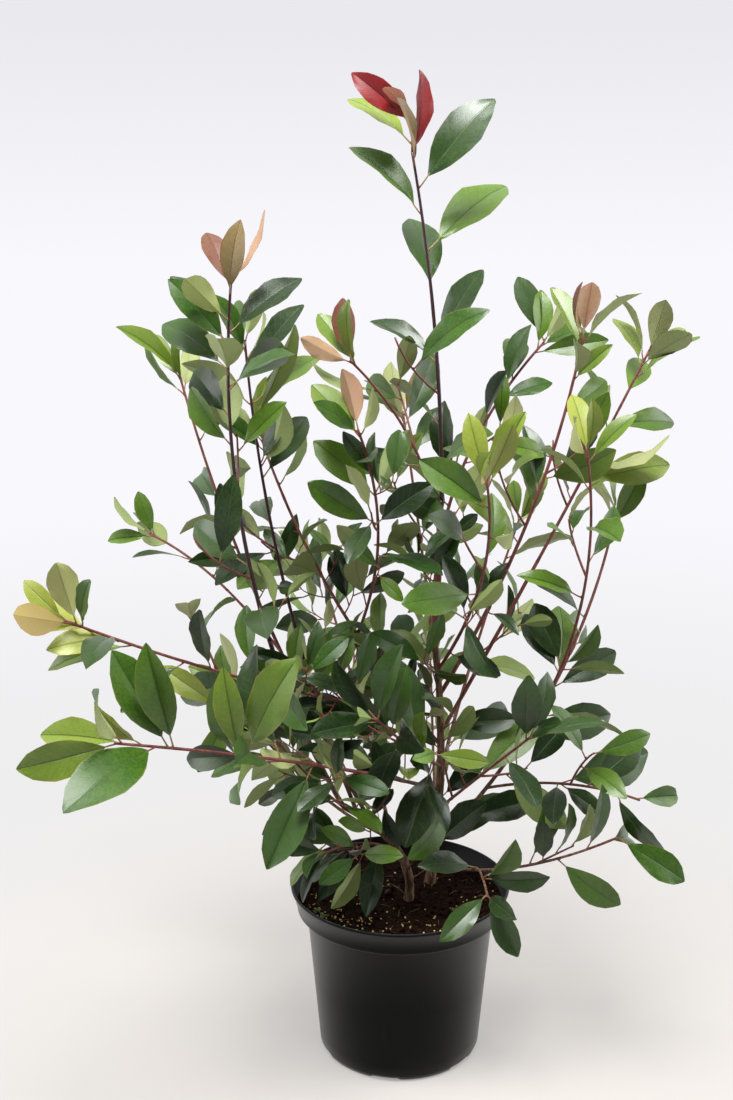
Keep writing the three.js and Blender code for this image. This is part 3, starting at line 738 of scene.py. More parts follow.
# Leaves that stand between those of the rule: shoot, share of its length, turn, age, size, colour, the number
# that its own random values start from, and how far it turns to the light where that isn't the rule's.
# These numbers came out of a search made by another program, and some were then rounded by hand.
LATE_KEYS = 200000
KEYS_PER_LEAF = 50
LATE_STEPS = (0, 14, -14, 28, -28, 42, -42)
LATE = (
    ("leader", 0.93, 200, 0.5, 1.3, "dark", 0),
    ("leader", 0.62, 190, 0.95, 1.3, "dark", 2),
    ("left_upright", 0.91, 15, 0.7, 1.1, "dark", 2004),
    ("left_upright", 0.89, 200, 0.85, 1.1, "mid", 4),
    ("left_upright", 0.82, 0, 0.3, 1.2, "dark", 5),
    ("left_inner", 0.84, 60, 0.5, 1.3, "fresh", 6),
    ("left_outer", 1.0, 105, 0.85, 1.13, "fresh", 2007),
    ("right_inner", 1.0, 180, 0.1, 0.85, "dark", 8),
    ("right_outer", 0.93, 120, 0.85, 1.05, "fresh", 9),
    ("right_outer", 0.81, 100, 0.5, 0.95, "mid", 10),
    ("right_outer", 0.67, 130, 0.5, 1.2, "fresh", 11),
    ("right_low", 0.51, 110, 0.7, 1.05, "dark", 12),
    ("right_low", 0.43, 130, 0.5, 1.15, "mid", 13),
    ("right_low", 0.63, 60, 0.1, 0.9, "mid", 14),
    ("right_low", 0.37, 90, 0.5, 1.2, "dark", 15),
    ("left_front", 0.93, 290, 0.85, 1.25, "lime", 16),
    ("left_front", 0.84, 260, 0.85, 1.1, "fresh", 17),
    ("right_skirt", 0.48, 300, 0.4, 1.35, "dark", 18),
    ("left_low_front", 0.68, 20, 0.6, 0.85, "dark", 19),
    ("leader_tip", 0.73, 345, 0.5, 0.8, "red", 2003),
    ("leader_tip", 0.88, 285, 0.85, 0.63, "red", 2007, -1.5),
    ("heart_front", 0.84, 330, 0.97, 0.92, "dark", 2003),
    ("heart_front", 0.83, 75, 0.7, 0.85, "dark", 2006),
    ("left_low_front", 0.71, 135, 0.7, 1.0, "fresh", 2007),
    ("left_low_front", 0.69, 150, 0.1, 1.3, "fresh", 2004),
    ("left_low_front", 0.87, 120, 0.3, 1.12, "mid", 2000),
    ("stem_right", 0.17, 195, 0.85, 1.18, "dark", 2004),
    ("right_low", 0.09, 105, 0.85, 1.16, "dark", 2004),
    ("low_front", 0.7, 195, 0.3, 0.97, "mid", 2000),
    ("low_front", 0.97, 330, 0.97, 0.96, "dark", 2005),
    ("left_upright", 0.85, 240, 0.3, 0.96, "dark", 2006),
    ("left_upright", 0.77, 270, 0.5, 0.94, "dark", 2004),
    ("left_upright", 0.72, 270, 0.7, 0.85, "mid", 2005),
    ("left_upright", 0.84, 150, 0.5, 0.96, "fresh", 2001, -1.5),
    ("left_inner", 0.87, 15, 0.5, 1.07, "fresh", 2004),
    ("left_inner", 0.75, 45, 0.85, 0.76, "dark", 2004),
    ("left_upright", 0.93, 195, 0.1, 0.74, "lime", 2003, -1.5),
    ("inner_front", 0.69, 15, 0.7, 0.96, "mid", 2006),
    ("inner_front", 0.78, 345, 0.97, 0.78, "dark", 2000),
    ("left_inner", 0.72, 0, 0.3, 0.96, "dark", 2000),
    ("left_inner", 0.93, 15, 0.85, 1.18, "dark", 2004),
    ("right_inner", 0.8, 345, 0.85, 0.75, "mid", 2004),
    ("right_middle", 0.88, 225, 0.97, 0.71, "fresh", 2007),
    ("right_low", 0.54, 30, 0.85, 1.14, "mid", 2006),
    ("right_low", 0.57, 330, 0.5, 0.84, "dark", 2002),
    ("left_front", 0.65, 45, 0.85, 0.91, "dark", 2004),
    ("left_front", 0.96, 75, 0.5, 0.72, "mid", 2004),
    ("left_low_front", 0.94, 75, 0.97, 0.78, "lime", 2003),
    ("low_right", 1.0, 90, 0.5, 0.94, "mid", 2004),
    ("right_skirt", 0.48, 15, 0.5, 0.61, "dark", 2002),
    ("left_low_front", 0.91, 240, 0.85, 1.45, "mid", 2009),
    ("leader_tip", 0.19, 15, 0.5, 0.91, "fresh", 2006),
    ("leader", 0.88, 45, 0.97, 1.45, "mid", 2007),
    ("leader", 0.81, 150, 0.1, 1.27, "mid", 2006),
    ("leader", 0.73, 90, 0.7, 1.19, "dark", 2006),
    ("low_right", 0.96, 30, 0.3, 0.84, "mid", 2007),
    ("right_outer", 0.96, 315, 0.5, 0.75, "fresh", 2006),
    ("left_front", 0.87, 195, 0.97, 0.95, "lime", 2006),
    ("stem_right", 0.36, 195, 0.85, 0.87, "dark", 2004),
    ("leader", 0.59, 45, 0.7, 1.0, "dark", 2007),
    ("right_middle", 0.57, 60, 0.7, 0.89, "dark", 2000),
    ("right_inner", 0.83, 150, 0.97, 1.01, "dark", 2003),
    ("right_low", 0.55, 330, 0.5, 0.92, "dark", 2004),
    ("back_right", 0.14, 255, 0.5, 1.23, "dark", 2000),
    ("stem_right", 0.16, 180, 0.7, 1.13, "dark", 2007),
    ("low_right", 0.65, 240, 0.5, 0.62, "dark", 2004),
    ("right_front", 0.25, 195, 0.85, 0.92, "mid", 2000),
    ("right_near", 0.1, 195, 0.3, 0.64, "dark", 2004),
)

# Leaves of the rule that have dropped off, which leaves the crown open there: shoot and numbers of the leaves
DROPPED = {
    "leader": (2, 3, 4, 5, 6, 7, 9, 101, 102),
    "left_upright": (2, 3, 7, 101, 102),
    "left_outer": (101, 102),
    "left_front": (2, 4, 122),
    "left_low_front": (3, 5, 101),
    "right_middle": (3,),
    "right_outer": (0, 102),
    "right_low": (2, 100, 102),
    "right_inner": (122,),
    "right_skirt": (3, 5, 6),
    "low_right": (3, 4, 5, 101),
}


def drop_leaves():
    gone = [leaf for leaf in leaves if leaf["key"] % SHOOT_KEYS in DROPPED.get(leaf["owner"], ())]
    for leaf in gone:
        room.free(leaf["place"])
        leaves.remove(leaf)


def grow_tips():
    """The newest growth on top of a shoot."""
    for name, (shoot, tip, radius) in TIPS.items():
        limb = Limb(limbs[shoot].tip, tip, TIP_BOW, TIP_RADIUS, radius)
        limbs[name] = limb
        room.take(*tube_space(limb, TIP_START, 1, *TWIG_ROD), name)
        twigs.append(limb)


def grow_late_leaves():
    for name, t, turn, share, size, tint, seed, *light in LATE:
        key = LATE_KEYS + seed * KEYS_PER_LEAF
        leaf = grow_leaf(name, limbs[name], t, share, turn, size, key, LATE_STEPS,
                         (name, "bough_" + name), *light)
        if leaf:
            leaf["tint"] = tint


SPUR = {
    "keys": 100000,
    "keys_apart": 100,  # from one spur of a limb to the next
    "leaf_keys": 20,
    "full_keys": 7,
    "spacing": 30,  # along the limb
    "from": 0.1,
    "to": 0.9,
    "turn_jitter": 30,
    "steps": (0, 60, -60, 120),
    "reach": (26, 64),
    "way": (0.5, 0.8, 0.25),
    "even": True,
    "bow": 0.12,
    "radii": (1.25, 0.8),
    "leaves": (2, 4),
    "leaf_size": (0.45, 0.8),
    "leaf_steps": LEAF_STEPS[:5],
    "first": 0.8,  # share of the space between two leaves up to the first
    "age": 0.8,
    "side_turn": 90,  # of the leaves, for each degree of a step
    "light": (-0.3, 0.5),  # how far their leaves turn to the light
    "middle": (-40, 0, 460),  # of the part of the crown that bears them
    "half": (145, 220, 265),
    "full": 1.2,  # sizes off the middle: from 0.2 to 1.2 of the half sizes they grow fewer
    "lowest": 245,
    "margin": 6,  # how far past the solids' own box a leaf may reach
}


def inside(points):
    low, high = (np.array(corner) / MM for corner in cad_box)
    corners = np.array(points)
    return bool((corners.min(axis=0) > low - SPUR["margin"]).all()
                and (corners.max(axis=0) < high + SPUR["margin"]).all())


def grow_spur(owner, limb, t, number, key):
    """A short side twig with a few small leaves, where there is room for it."""
    draw = make_draw(key)
    reach = lerp(*SPUR["reach"], draw())
    turn = GOLDEN * number + SPUR["turn_jitter"] * spread(draw)
    wood = (owner, "bough_" + owner)
    spur, step = grow_side_limb(owner, limb, t, turn, reach, SPUR, wood)
    if not spur:
        return
    count = round(lerp(*SPUR["leaves"], draw()))
    size = lerp(*SPUR["leaf_size"], draw())
    light = lerp(*SPUR["light"], draw())
    grown = False
    for i in reversed(range(count)):
        share = (i + SPUR["first"]) / count
        plan = (spur, share, share * SPUR["age"], GOLDEN * i + SPUR["side_turn"] * step, size,
                key + SPUR["leaf_keys"] + i)
        if not inside(blade_space(plan_leaf(*plan, light), 0)[0]):
            continue
        leaf = grow_leaf(owner, *plan, SPUR["leaf_steps"], wood, light)
        if leaf:
            leaf["spur"] = True
            grown = True
    if grown:
        twigs.append(spur)


def heart_distance(point):
    """0 in the middle of the crown and 1 at the half sizes of its dense part."""
    off = [(p - m) / h for p, m, h in zip(point, SPUR["middle"], SPUR["half"])]
    return Vector(off).length


def grow_spurs(shoots):
    names = list(STEMS) + [shoot["name"] for shoot in shoots]
    for index, name in enumerate(names):
        limb = limbs[name]
        count = int(limb.length / SPUR["spacing"])
        for number in range(count):
            t = lerp(SPUR["from"], SPUR["to"], (number + 0.5) / count)
            key = SPUR["keys"] * (index + 1) + SPUR["keys_apart"] * number
            point = limb.point(t)
            chance = make_draw(key + SPUR["full_keys"])()
            if point.z > SPUR["lowest"] and chance < SPUR["full"] - heart_distance(point):
                grow_spur(name, limb, t, number, key)


# ---- Shapes -----------------------------------------------------------------------------------------


class Shape:
    """A small mesh to be copied many times: its points, its faces with their finish, and its own map."""

    def __init__(self, made, sharp=()):
        made.verts.index_update()
        self.points = np.array([vertex.co[:] for vertex in made.verts])
        self.corners = np.array([v.index for face in made.faces for v in face.verts])
        self.totals = np.array([len(face.verts) for face in made.faces])
        self.finish = np.array([face.material_index for face in made.faces])
        self.map = np.zeros((len(self.corners), 2))
        ends = [[vertex.index for vertex in edge.verts] for edge in sharp]
        self.sharp = np.array(ends, dtype=int).reshape(-1, 2)
        made.free()


class Heap:
    """Many small shapes gathered into one mesh."""

    def __init__(self):
        self.points, self.corners, self.totals, self.finish = [], [], [], []
        self.map, self.tone, self.sharp = [], [], []
        self.size = 0

    def add(self, shape, points, tone=0.0):
        self.points.append(points)
        self.corners.append(shape.corners + self.size)
        self.totals.append(shape.totals)
        self.finish.append(shape.finish)
        self.map.append(shape.map)
        self.tone.append(np.broadcast_to(np.asarray(tone, dtype=float), len(points)))
        self.sharp.append(shape.sharp + self.size)
        self.size += len(points)

    def mesh(self, name):
        """The joined mesh, in metres."""
        mesh = bpy.data.meshes.new(name)
        corners = np.concatenate(self.corners)
        totals = np.concatenate(self.totals)
        mesh.vertices.add(self.size)
        mesh.vertices.foreach_set("co", (np.concatenate(self.points) * MM).ravel())
        mesh.loops.add(len(corners))
        mesh.loops.foreach_set("vertex_index", corners)
        mesh.polygons.add(len(totals))
        mesh.polygons.foreach_set("loop_start", np.concatenate(([0], np.cumsum(totals)[:-1])))
        mesh.polygons.foreach_set("material_index", np.concatenate(self.finish))
        mesh.update(calc_edges=True)
        mesh.shade_smooth()
        uv = mesh.uv_layers.new(name="own")
        uv.uv.foreach_set("vector", np.concatenate(self.map).ravel())
        tone = mesh.attributes.new("tone", "FLOAT", "POINT")
        tone.data.foreach_set("value", np.concatenate(self.tone))
        self.sharpen(mesh)
        mesh.validate()
        return mesh

    def sharpen(self, mesh):
        """Keep the light from running smoothly over the shapes' sharp edges."""
        sharp = np.sort(np.concatenate(self.sharp), axis=1)
        if len(sharp):
            ends = np.empty(len(mesh.edges) * 2, dtype=np.int64)
            mesh.edges.foreach_get("vertices", ends)
            ends = np.sort(ends.reshape(-1, 2), axis=1)
            hard = np.isin(ends @ (self.size, 1), sharp @ (self.size, 1))
            mesh.attributes.new("sharp_edge", "BOOLEAN", "EDGE").data.foreach_set("value", hard)


def add_piece(mesh, finishes, nodes=()):
    """A finished piece, named as its mesh is, in the place of the solids that it shows."""
    for finish in finishes:
        mesh.materials.append(finish.material)
    piece = add_object(mesh.name, mesh)
    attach(piece, "root")
    if nodes:
        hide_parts(*nodes)


def rod_shape(sides, steps):
    """A rod of radius 1 that stands from height 0 to 1, closed at both ends."""
    made = bmesh.new()
    bmesh.ops.create_circle(made, cap_ends=True, segments=sides, radius=1)
    bmesh.ops.reverse_faces(made, faces=list(made.faces))
    ring = list(made.edges)
    for _ in range(steps):
        grown = bmesh.ops.extrude_edge_only(made, edges=ring)["geom"]
        corners = [item for item in grown if isinstance(item, bmesh.types.BMVert)]
        ring = [item for item in grown if isinstance(item, bmesh.types.BMEdge)
                and all(vertex in corners for vertex in item.verts)]
        bmesh.ops.translate(made, verts=corners, vec=(0, 0, 1 / steps))
    bmesh.ops.contextual_create(made, geom=ring)
    bmesh.ops.recalc_face_normals(made, faces=made.faces)
    shape = Shape(made)
    x, y, high = shape.points[shape.corners].T
    shape.map = np.stack((np.arctan2(y, x) / (2 * math.pi) + 0.5, high), axis=1)
    return shape


def lump_shape(subdivisions):
    made = bmesh.new()
    bmesh.ops.create_icosphere(made, subdivisions=subdivisions, radius=1)
    return Shape(made)


def bend_rod(limb, shape, start, end, relief=None, thin=1.0):
    """A rod's points bent along a limb, its radius times what relief gives for t and the angle round it."""
    x, y, share = shape.points.T
    t = (start + (end - start) * share)[:, None]
    foot, control, tip = (np.array(place) for place in (limb.foot, limb.control, limb.tip))
    middle = (1 - t) ** 2 * foot + 2 * t * (1 - t) * control + t * t * tip
    ahead = (1 - t) * (control - foot) + t * (tip - control)
    ahead /= np.linalg.norm(ahead, axis=1)[:, None]
    across = np.array(limb.across)
    out = np.cross(ahead, across)
    out /= np.linalg.norm(out, axis=1)[:, None]
    swell = 1 + limb.flare * np.exp(-t * limb.length / FLARE["height"])
    radius = (limb.thick + (limb.thin - limb.thick) * t) * swell * thin
    if relief is not None:
        radius = radius * relief(t[:, 0], np.arctan2(y, x))[:, None]
    # out and across are turned so that the rod keeps its faces outwards
    return middle + out * y[:, None] * radius + across * x[:, None] * radius


# ---- Leaves -----------------------------------------------------------------------------------------

# A leaf's outline: half its width at the widest place, and how slowly it widens from its base and tip
LEAF_OUTLINE = {"half": 0.5, "base": 1.08, "tip": 0.78}
LEAF_ROWS = 6
LEAF_COLUMNS = 4
LEAF_LAYER = 0.01  # that sets a shape's two sheets apart before each blade gets its thickness
NARROWEST = 0.01  # half width that the map and the fold count with at the two ends
TEETH = {"cuts": 1, "depth": 0.0042, "from": 0.1, "to": 0.96}  # cuts between rows, shares of the blade
BLADE = {
    "keys": 500000,
    "fold": (8, 38),  # degrees that each half rises off the flat
    "twist": 16,  # degrees from base to tip
    "wave": 0.05,  # height of the edge's waves, in widths
    "waves": 2.3,  # along the blade
    "waves_apart": 0.4,  # between the left and right edge
    "cup": 0.5,  # how much flatter a half can be at its edge than at the midrib
    "width": (0.88, 1.14),
    "curl": (-0.03, 0.16),  # how far the tip turns down, in lengths
    "curl_late": 3.5,  # and how late along the blade
    "skin": 0.35,  # from the blade's middle plane to its upper side, at the midrib
    "deep": 1.1,  # sizes off the middle of the crown, inside of which the leaves are darkened with painted shade
}
TURNED = {"low": 400, "high": 850, "most": 0.28, "least": 0.09}  # share of leaves that show their back


def leaf_half(along):
    """Half the blade's width, as a share of its whole width, at a share of its length."""
    base, tip = LEAF_OUTLINE["base"], LEAF_OUTLINE["tip"]
    widest = base / (base + tip)
    peak = widest ** base * (1 - widest) ** tip
    return LEAF_OUTLINE["half"] * along ** base * (1 - along) ** tip / peak


def safe_half(along):
    return np.maximum(leaf_half(np.clip(along, 0, 1)), NARROWEST)


def leaf_shape():
    """A blade one unit long and wide: an upper sheet and an under sheet that share their toothed edge."""

    def at_edge(vertex):
        return abs(vertex.co.x) > 0.99

    made = bmesh.new()
    bmesh.ops.create_grid(made, x_segments=LEAF_COLUMNS, y_segments=LEAF_ROWS, size=1)
    edges = [edge for edge in made.edges if all(at_edge(vertex) for vertex in edge.verts)]
    bmesh.ops.subdivide_edges(made, edges=edges, cuts=TEETH["cuts"])
    for vertex in made.verts:
        row = (vertex.co.y + 1) / 2
        along = (1 - math.cos(math.pi * row)) / 2
        half = leaf_half(along)
        step = round(row * LEAF_ROWS * (TEETH["cuts"] + 1))
        closed = at_edge(vertex) or row in (0, 1)
        if at_edge(vertex) and TEETH["from"] < along < TEETH["to"]:
            tooth = TEETH["depth"] * (1 if step % 2 else -1)
            half += tooth
            along += tooth
        vertex.co = (vertex.co.x * half, along, 0 if closed else LEAF_LAYER)
    bmesh.ops.triangulate(made, faces=[face for face in made.faces if len(face.verts) > 4])
    upper = list(made.faces) + list(made.edges) + list(made.verts)
    under = bmesh.ops.duplicate(made, geom=upper)["geom"]
    for item in under:
        if isinstance(item, bmesh.types.BMVert):
            item.co.z *= -1
    faces = [item for item in under if isinstance(item, bmesh.types.BMFace)]
    for face in faces:
        face.material_index = 1
    bmesh.ops.reverse_faces(made, faces=faces)
    bmesh.ops.remove_doubles(made, verts=made.verts, dist=1e-5)
    ribs = [edge for edge in made.edges if all(abs(vertex.co.x) < 1e-6 for vertex in edge.verts)]
    rim = [edge for edge in made.edges if len({face.material_index for face in edge.link_faces}) > 1]
    shape = Shape(made, ribs + rim)
    across, along, _ = shape.points[shape.corners].T
    shape.map = np.stack((np.clip(across / safe_half(along) / 2, -0.5, 0.5) + 0.5, along), axis=1)
    return shape


# The part of the crown whose old leaves are lighter, and the shares of them up to the dark and mid ones
SUNNY = {"right_of": 70, "above": 420, "dark": 0.35, "mid": 0.72}

# Leaves of the rule with a colour of their own: shoot and number of the leaf
OWN_TINTS = {
    ("leader", 10): "red", ("leader", 8): "bronze", ("left_upright", 8): "bronze",
    ("left_front", 9): "lime", ("inner_front", 6): "mid", ("left_low_front", 7): "mid",
}


def own_tint(leaf):
    """The colour stated for a single leaf, if there is one."""
    if "tint" in leaf or leaf.get("spur"):
        return leaf.get("tint")
    return OWN_TINTS.get((leaf["owner"], leaf["key"] % SHOOT_KEYS))


def blade_points(leaf, shape):
    """The tone of a leaf, below 0 for painted shade deep in the crown, and its blade's points, folded on the
    midrib, sagging, wavy and a little twisted.
    """
    draw = make_draw(leaf["key"] + BLADE["keys"])
    fold = math.radians(lerp(*BLADE["fold"], draw()))
    twist = math.radians(BLADE["twist"]) * spread(draw)
    wave = BLADE["wave"] * leaf["width"] * draw()
    phase = 2 * math.pi * draw()
    cup = BLADE["cup"] * draw()
    # Painted shade: leaves near the middle of the crown get a tone that can run below 0, which darkens them
    shade = max(0, BLADE["deep"] - heart_distance(leaf["base"]))
    tone = lerp(-shade, 1, draw())
    width = leaf["width"] * lerp(*BLADE["width"], draw())
    curl = leaf["length"] * lerp(*BLADE["curl"], draw())
    high = (leaf["base"].z - TURNED["low"]) / (TURNED["high"] - TURNED["low"])
    chance = TURNED["most"] * min(1, max(0, high)) + TURNED["least"]
    turned = -1 if not own_tint(leaf) and draw() < chance else 1
    across, along, layer = shape.points.T
    share = np.minimum(np.abs(across) / safe_half(along), 1)
    reach = across * width
    rise = np.abs(reach) * (math.sin(fold) - cup * math.sin(fold) * share)
    angle = BLADE["waves"] * along + BLADE["waves_apart"] * np.sign(across)
    rise += wave * share ** 2 * np.sin(phase + 2 * math.pi * angle)
    rise += np.sign(layer) * BLADE["skin"]
    reach = reach * math.cos(fold)
    turn = twist * along
    reach, rise = reach * np.cos(turn) - rise * np.sin(turn), reach * np.sin(turn) + rise * np.cos(turn)
    rise -= leaf["sag"] * along ** 2 * leaf["length"] + curl * along ** BLADE["curl_late"]
    base, ahead = np.array(leaf["base"]), np.array(leaf["ahead"])
    side, face = np.array(leaf["side"]) * turned, np.array(leaf["face"]) * turned
    points = (base + ahead * (along * leaf["length"])[:, None] - side * reach[:, None]
              + face * rise[:, None])
    return points, tone


# tint: upper side, a second tone of it, its ribs, the under side, and the rim
LEAF_TINTS = {
    "dark": (rgb(16, 32, 11), rgb(54, 82, 30), rgb(60, 82, 42), rgb(132, 144, 88), rgb(72, 80, 38)),
    "mid": (rgb(30, 64, 6), rgb(84, 114, 24), rgb(46, 74, 20), rgb(146, 152, 104), rgb(106, 108, 48)),
    "fresh": (rgb(74, 102, 26), rgb(112, 128, 44), rgb(68, 92, 30), rgb(158, 160, 112), rgb(148, 120, 62)),
    "lime": (rgb(104, 122, 36), rgb(144, 150, 62), rgb(92, 110, 38), rgb(172, 174, 112), rgb(168, 134, 76)),
    "gold": (rgb(136, 138, 54), rgb(170, 146, 72), rgb(124, 120, 54), rgb(158, 136, 84), rgb(170, 104, 58)),
    "bronze": (rgb(92, 44, 38), rgb(112, 100, 56), rgb(104, 44, 38), rgb(172, 132, 108), rgb(120, 44, 34)),
    "red": (rgb(56, 2, 6), rgb(136, 4, 5), rgb(76, 8, 12), rgb(196, 128, 108), rgb(120, 14, 16)),
}
PLAIN_GLOSS = 0.38  # roughness of an upper side, and of those whose own differs
LEAF_GLOSS = {"red": 0.5, "bronze": 0.46, "dark": 0.34}
UNDER_GLOSS = 0.62
UPPER_VEINS = 0.22  # how strongly the side veins show
UNDER_VEINS = 0.2
UNDER_RIB = (0.62, 0.62, 0.62, 1)  # the midrib's and the darker parts' colour as shares of the under side's
UNDER_OLIVE = (0.8, 0.95, 0.74, 1)
# Painted shade: the colour that the leaves deep in the crown are darkened towards
SHADED_LEAF = rgb(4, 9, 3)
RIB_EDGE = (0.008, 0.035)  # shares of the width, from the midrib outwards, over which it fades
RIM_EDGE = (0.46, 0.5)
VEIN_EDGE = (0.01, 0.12)  # shares of the space between two veins
VEINS = {"count": 9, "slant": 3.4, "bend": 0.8, "wander": 0.6}
LEAF_GRAIN = {"wander": 25, "blotch": 34, "grain": 340}  # scales


def leaf_finish(name, first, second, rib, rim, gloss, veins):
    """A blade's finish: a midrib, side veins that curve to the rim, a little change of tone, and painted
    shade where the tone runs below 0.
    """
    finish = Finish(name, Specular_IOR_Level=0.2, Coat_Roughness=gloss)
    place = finish.node("ShaderNodeUVMap", {"uv_map": "own"})
    across = abs(place.axis("X") - 0.5)
    rib_mask = 1 - across.rise(*RIB_EDGE)
    wander = finish.speckle(LEAF_GRAIN["wander"], 1.0) * VEINS["wander"]
    vein = (place.axis("Y") * VEINS["count"] - across ** VEINS["bend"] * VEINS["slant"] + wander).part()
    vein_mask = 1 - abs(vein - 0.5).rise(*VEIN_EDGE)
    tone = finish.tone()
    blotch = finish.speckle(LEAF_GRAIN["blotch"], 3.0)
    grain = finish.speckle(LEAF_GRAIN["grain"], 2.0)
    color = finish.blend(tone * 0.8 + blotch * 0.6 + grain * 0.7 - 0.55, first, second)
    color = finish.blend(vein_mask * veins, color, rib)
    color = finish.blend(across.rise(*RIM_EDGE) * 0.55, color, rim)
    color = finish.blend(rib_mask * 0.7, color, rib)
    # Painted shade: a tone below 0 darkens the colour towards SHADED_LEAF, and the coat thins with it
    finish.set("Base Color", finish.blend((0 - tone).rise(0, 0.9) * 0.8, color, SHADED_LEAF))
    finish.set("Coat Weight", tone.rise(-0.4, 0.5) * 0.5)
    finish.set("Roughness", blotch * 0.24 + grain * 0.2 + (gloss - 0.22))
    finish.bump(blotch * 0.5 + grain * 0.16 - vein_mask * 0.12 - rib_mask * 0.8, 0.0006, 0.7)
    return finish


TINT_KEYS = 900000
SPUR_TINTS = (0.62, 0.82)  # chances up to which a spur's leaf is dark, and mid
OLD_DARK = 0.8  # chance that an old leaf is dark
YOUNG_FROM = 0.9  # share of the shoot above which leaves have its own colour
YOUNGEST = {"red": 0.83, "lime": 0.83, "fresh": 0.83}  # the same, for the shoots of these colours
# The colour of a shoot's next leaves, below the youngest
SOFTER = {"red": "fresh", "bronze": "fresh", "gold": "lime", "lime": "fresh", "fresh": "mid", "mid": "mid"}


def leaf_tint(leaf, young):
    """The youngest leaves of a shoot have its colour, the next ones are greener and the old ones dark."""
    if own_tint(leaf):
        return own_tint(leaf)
    chance = make_draw(leaf["key"] + TINT_KEYS)()
    if leaf.get("spur"):
        dark, mid = SPUR_TINTS
        return "dark" if chance < dark else "mid" if chance < mid else "fresh"
    color = young[leaf["owner"]]
    share = leaf["share"]
    sunny = leaf["base"].x > SUNNY["right_of"] and leaf["base"].z > SUNNY["above"]
    if leaf["limb"] is limbs[leaf["owner"]] and share > YOUNGEST.get(color, YOUNG_FROM):
        return color
    if share > FLUSH["young"]:
        return SOFTER.get(color, "dark")
    if share > 0.5:
        return SOFTER.get(SOFTER.get(color), "dark") if sunny or chance < 0.5 else "dark"
    if sunny and chance > SUNNY["dark"]:
        return "mid" if chance < SUNNY["mid"] else "fresh"
    return "dark" if chance < OLD_DARK else "mid"


def make_leaves(shoots):
    shape = leaf_shape()
    young = {shoot["name"]: shoot["young"] for shoot in shoots}
    heaps = {tint: Heap() for tint in LEAF_TINTS}
    for leaf in leaves:
        heaps[leaf_tint(leaf, young)].add(shape, *blade_points(leaf, shape))
    foliage = sorted(name for name in frame["nodes"] if name.startswith("foliage_"))
    for tint, heap in heaps.items():
        first, second, rib, under, rim = LEAF_TINTS[tint]
        gloss = LEAF_GLOSS.get(tint, PLAIN_GLOSS)
        upper = leaf_finish("leaf_upper_" + tint, first, second, rib, rim, gloss, UPPER_VEINS)
        deep = [part * share for part, share in zip(under, UNDER_RIB)]
        olive = [part * share for part, share in zip(under, UNDER_OLIVE)]
        below = leaf_finish("leaf_under_" + tint, under, olive, deep, rim, UNDER_GLOSS, UNDER_VEINS)
        add_piece(heap.mesh("leaves_" + tint), (upper, below), foliage)


# ---- Wood -------------------------------------------------------------------------------------------

PURPLE_SHOOTS = ("leader", "left_upright", "left_inner")  # the strongest shoots, with the darkest bark
PURPLE = 0.9  # how far their tone goes towards purple
LOW_WOOD = 520  # height below which the bark of every limb turns brown
LOW_MOST = 0.5
YOUNG_RADIUS = 1.2
OLD_RADIUS = 5.8
STEM_ROD = (26, 96)  # sides and steps
BOUGH_ROD = (12, 40)
YOUNG_ROD = (8, 30)
SIDE_TWIG_ROD = (6, 6)
SLIM = 0.92  # thickness of the boughs and shoots, as a share of their solids'
SIDE_TWIG_SLIM = 0.8
SIDE_TWIG_TONE = 0.05
OVERLAP = 0.004  # by which a bough runs into its shoot
STEM = {"from": 0.006, "seed": 3.1, "relief": 0.13, "older": 0.25}
BOUGH = {"seed": 1.7, "relief": 0.1, "young_relief": 0.07}
RIDGES = ((1.6, 0.045, 1), (4.5, 0.11, 0.6))  # of bark: how fine round the limb and along it, how high
LEAF_SCARS = {"apart": 27, "at": 13, "half": 1.6, "high": 0.09, "shift": 7}


def young_share(radius):
    """0 on a twig's tip and 1 on the old wood at the ground."""
    return np.clip((radius - YOUNG_RADIUS) / (OLD_RADIUS - YOUNG_RADIUS), 0, 1)


def low_share(points):
    """How much browner wood is for standing low in the crown."""
    return np.clip((LOW_WOOD - points[:, 2]) / LOW_WOOD, 0, LOW_MOST)


def bark_relief(limb, seed, depth):
    """Ridges that run along the wood, and rings where old leaves stood."""

    def relief(t, angle):
        along = t * limb.length
        swell = np.empty(len(t))
        for i in range(len(t)):
            x, y = math.cos(angle[i]), math.sin(angle[i])
            ridges = (high * noise.noise((x * around, y * around, along[i] * fine + seed))
                      for around, fine, high in RIDGES)
            swell[i] = 1 + depth * sum(ridges)
        scars = LEAF_SCARS
        off = np.mod(along + seed * scars["shift"], scars["apart"]) - scars["at"]
        return swell + scars["high"] * np.exp(-(off / scars["half"]) ** 2)

    return relief


def wood_finish(name, old, old_streak, young, young_streak):
    """Bark, brown at the foot, red on the shoots and purple on the strongest, streaked along the grain."""
    finish = Finish(name, Specular_IOR_Level=0.35)
    age = finish.tone()
    grain = finish.speckle(420, 4.0, (1, 1, 0.16))
    coarse = finish.speckle(90, 3.0, (1, 1, 0.3))
    brown = finish.blend(grain.rise(0.35, 0.68), old_streak, old)
    red = finish.blend((grain * 0.5 + coarse * 0.5).rise(0.35, 0.65), young_streak, young)
    red = finish.blend((0 - age).rise(0, 0.4), red, rgb(52, 27, 31))
    finish.set("Base Color", finish.blend((age + coarse * 0.3 - 0.15).rise(0.3, 0.75), red, brown))
    finish.set("Roughness", 0.42 + age * 0.35 + grain * 0.1)
    finish.bump(grain * 0.7 + coarse * 0.5, 0.0007, 0.7)
    return finish


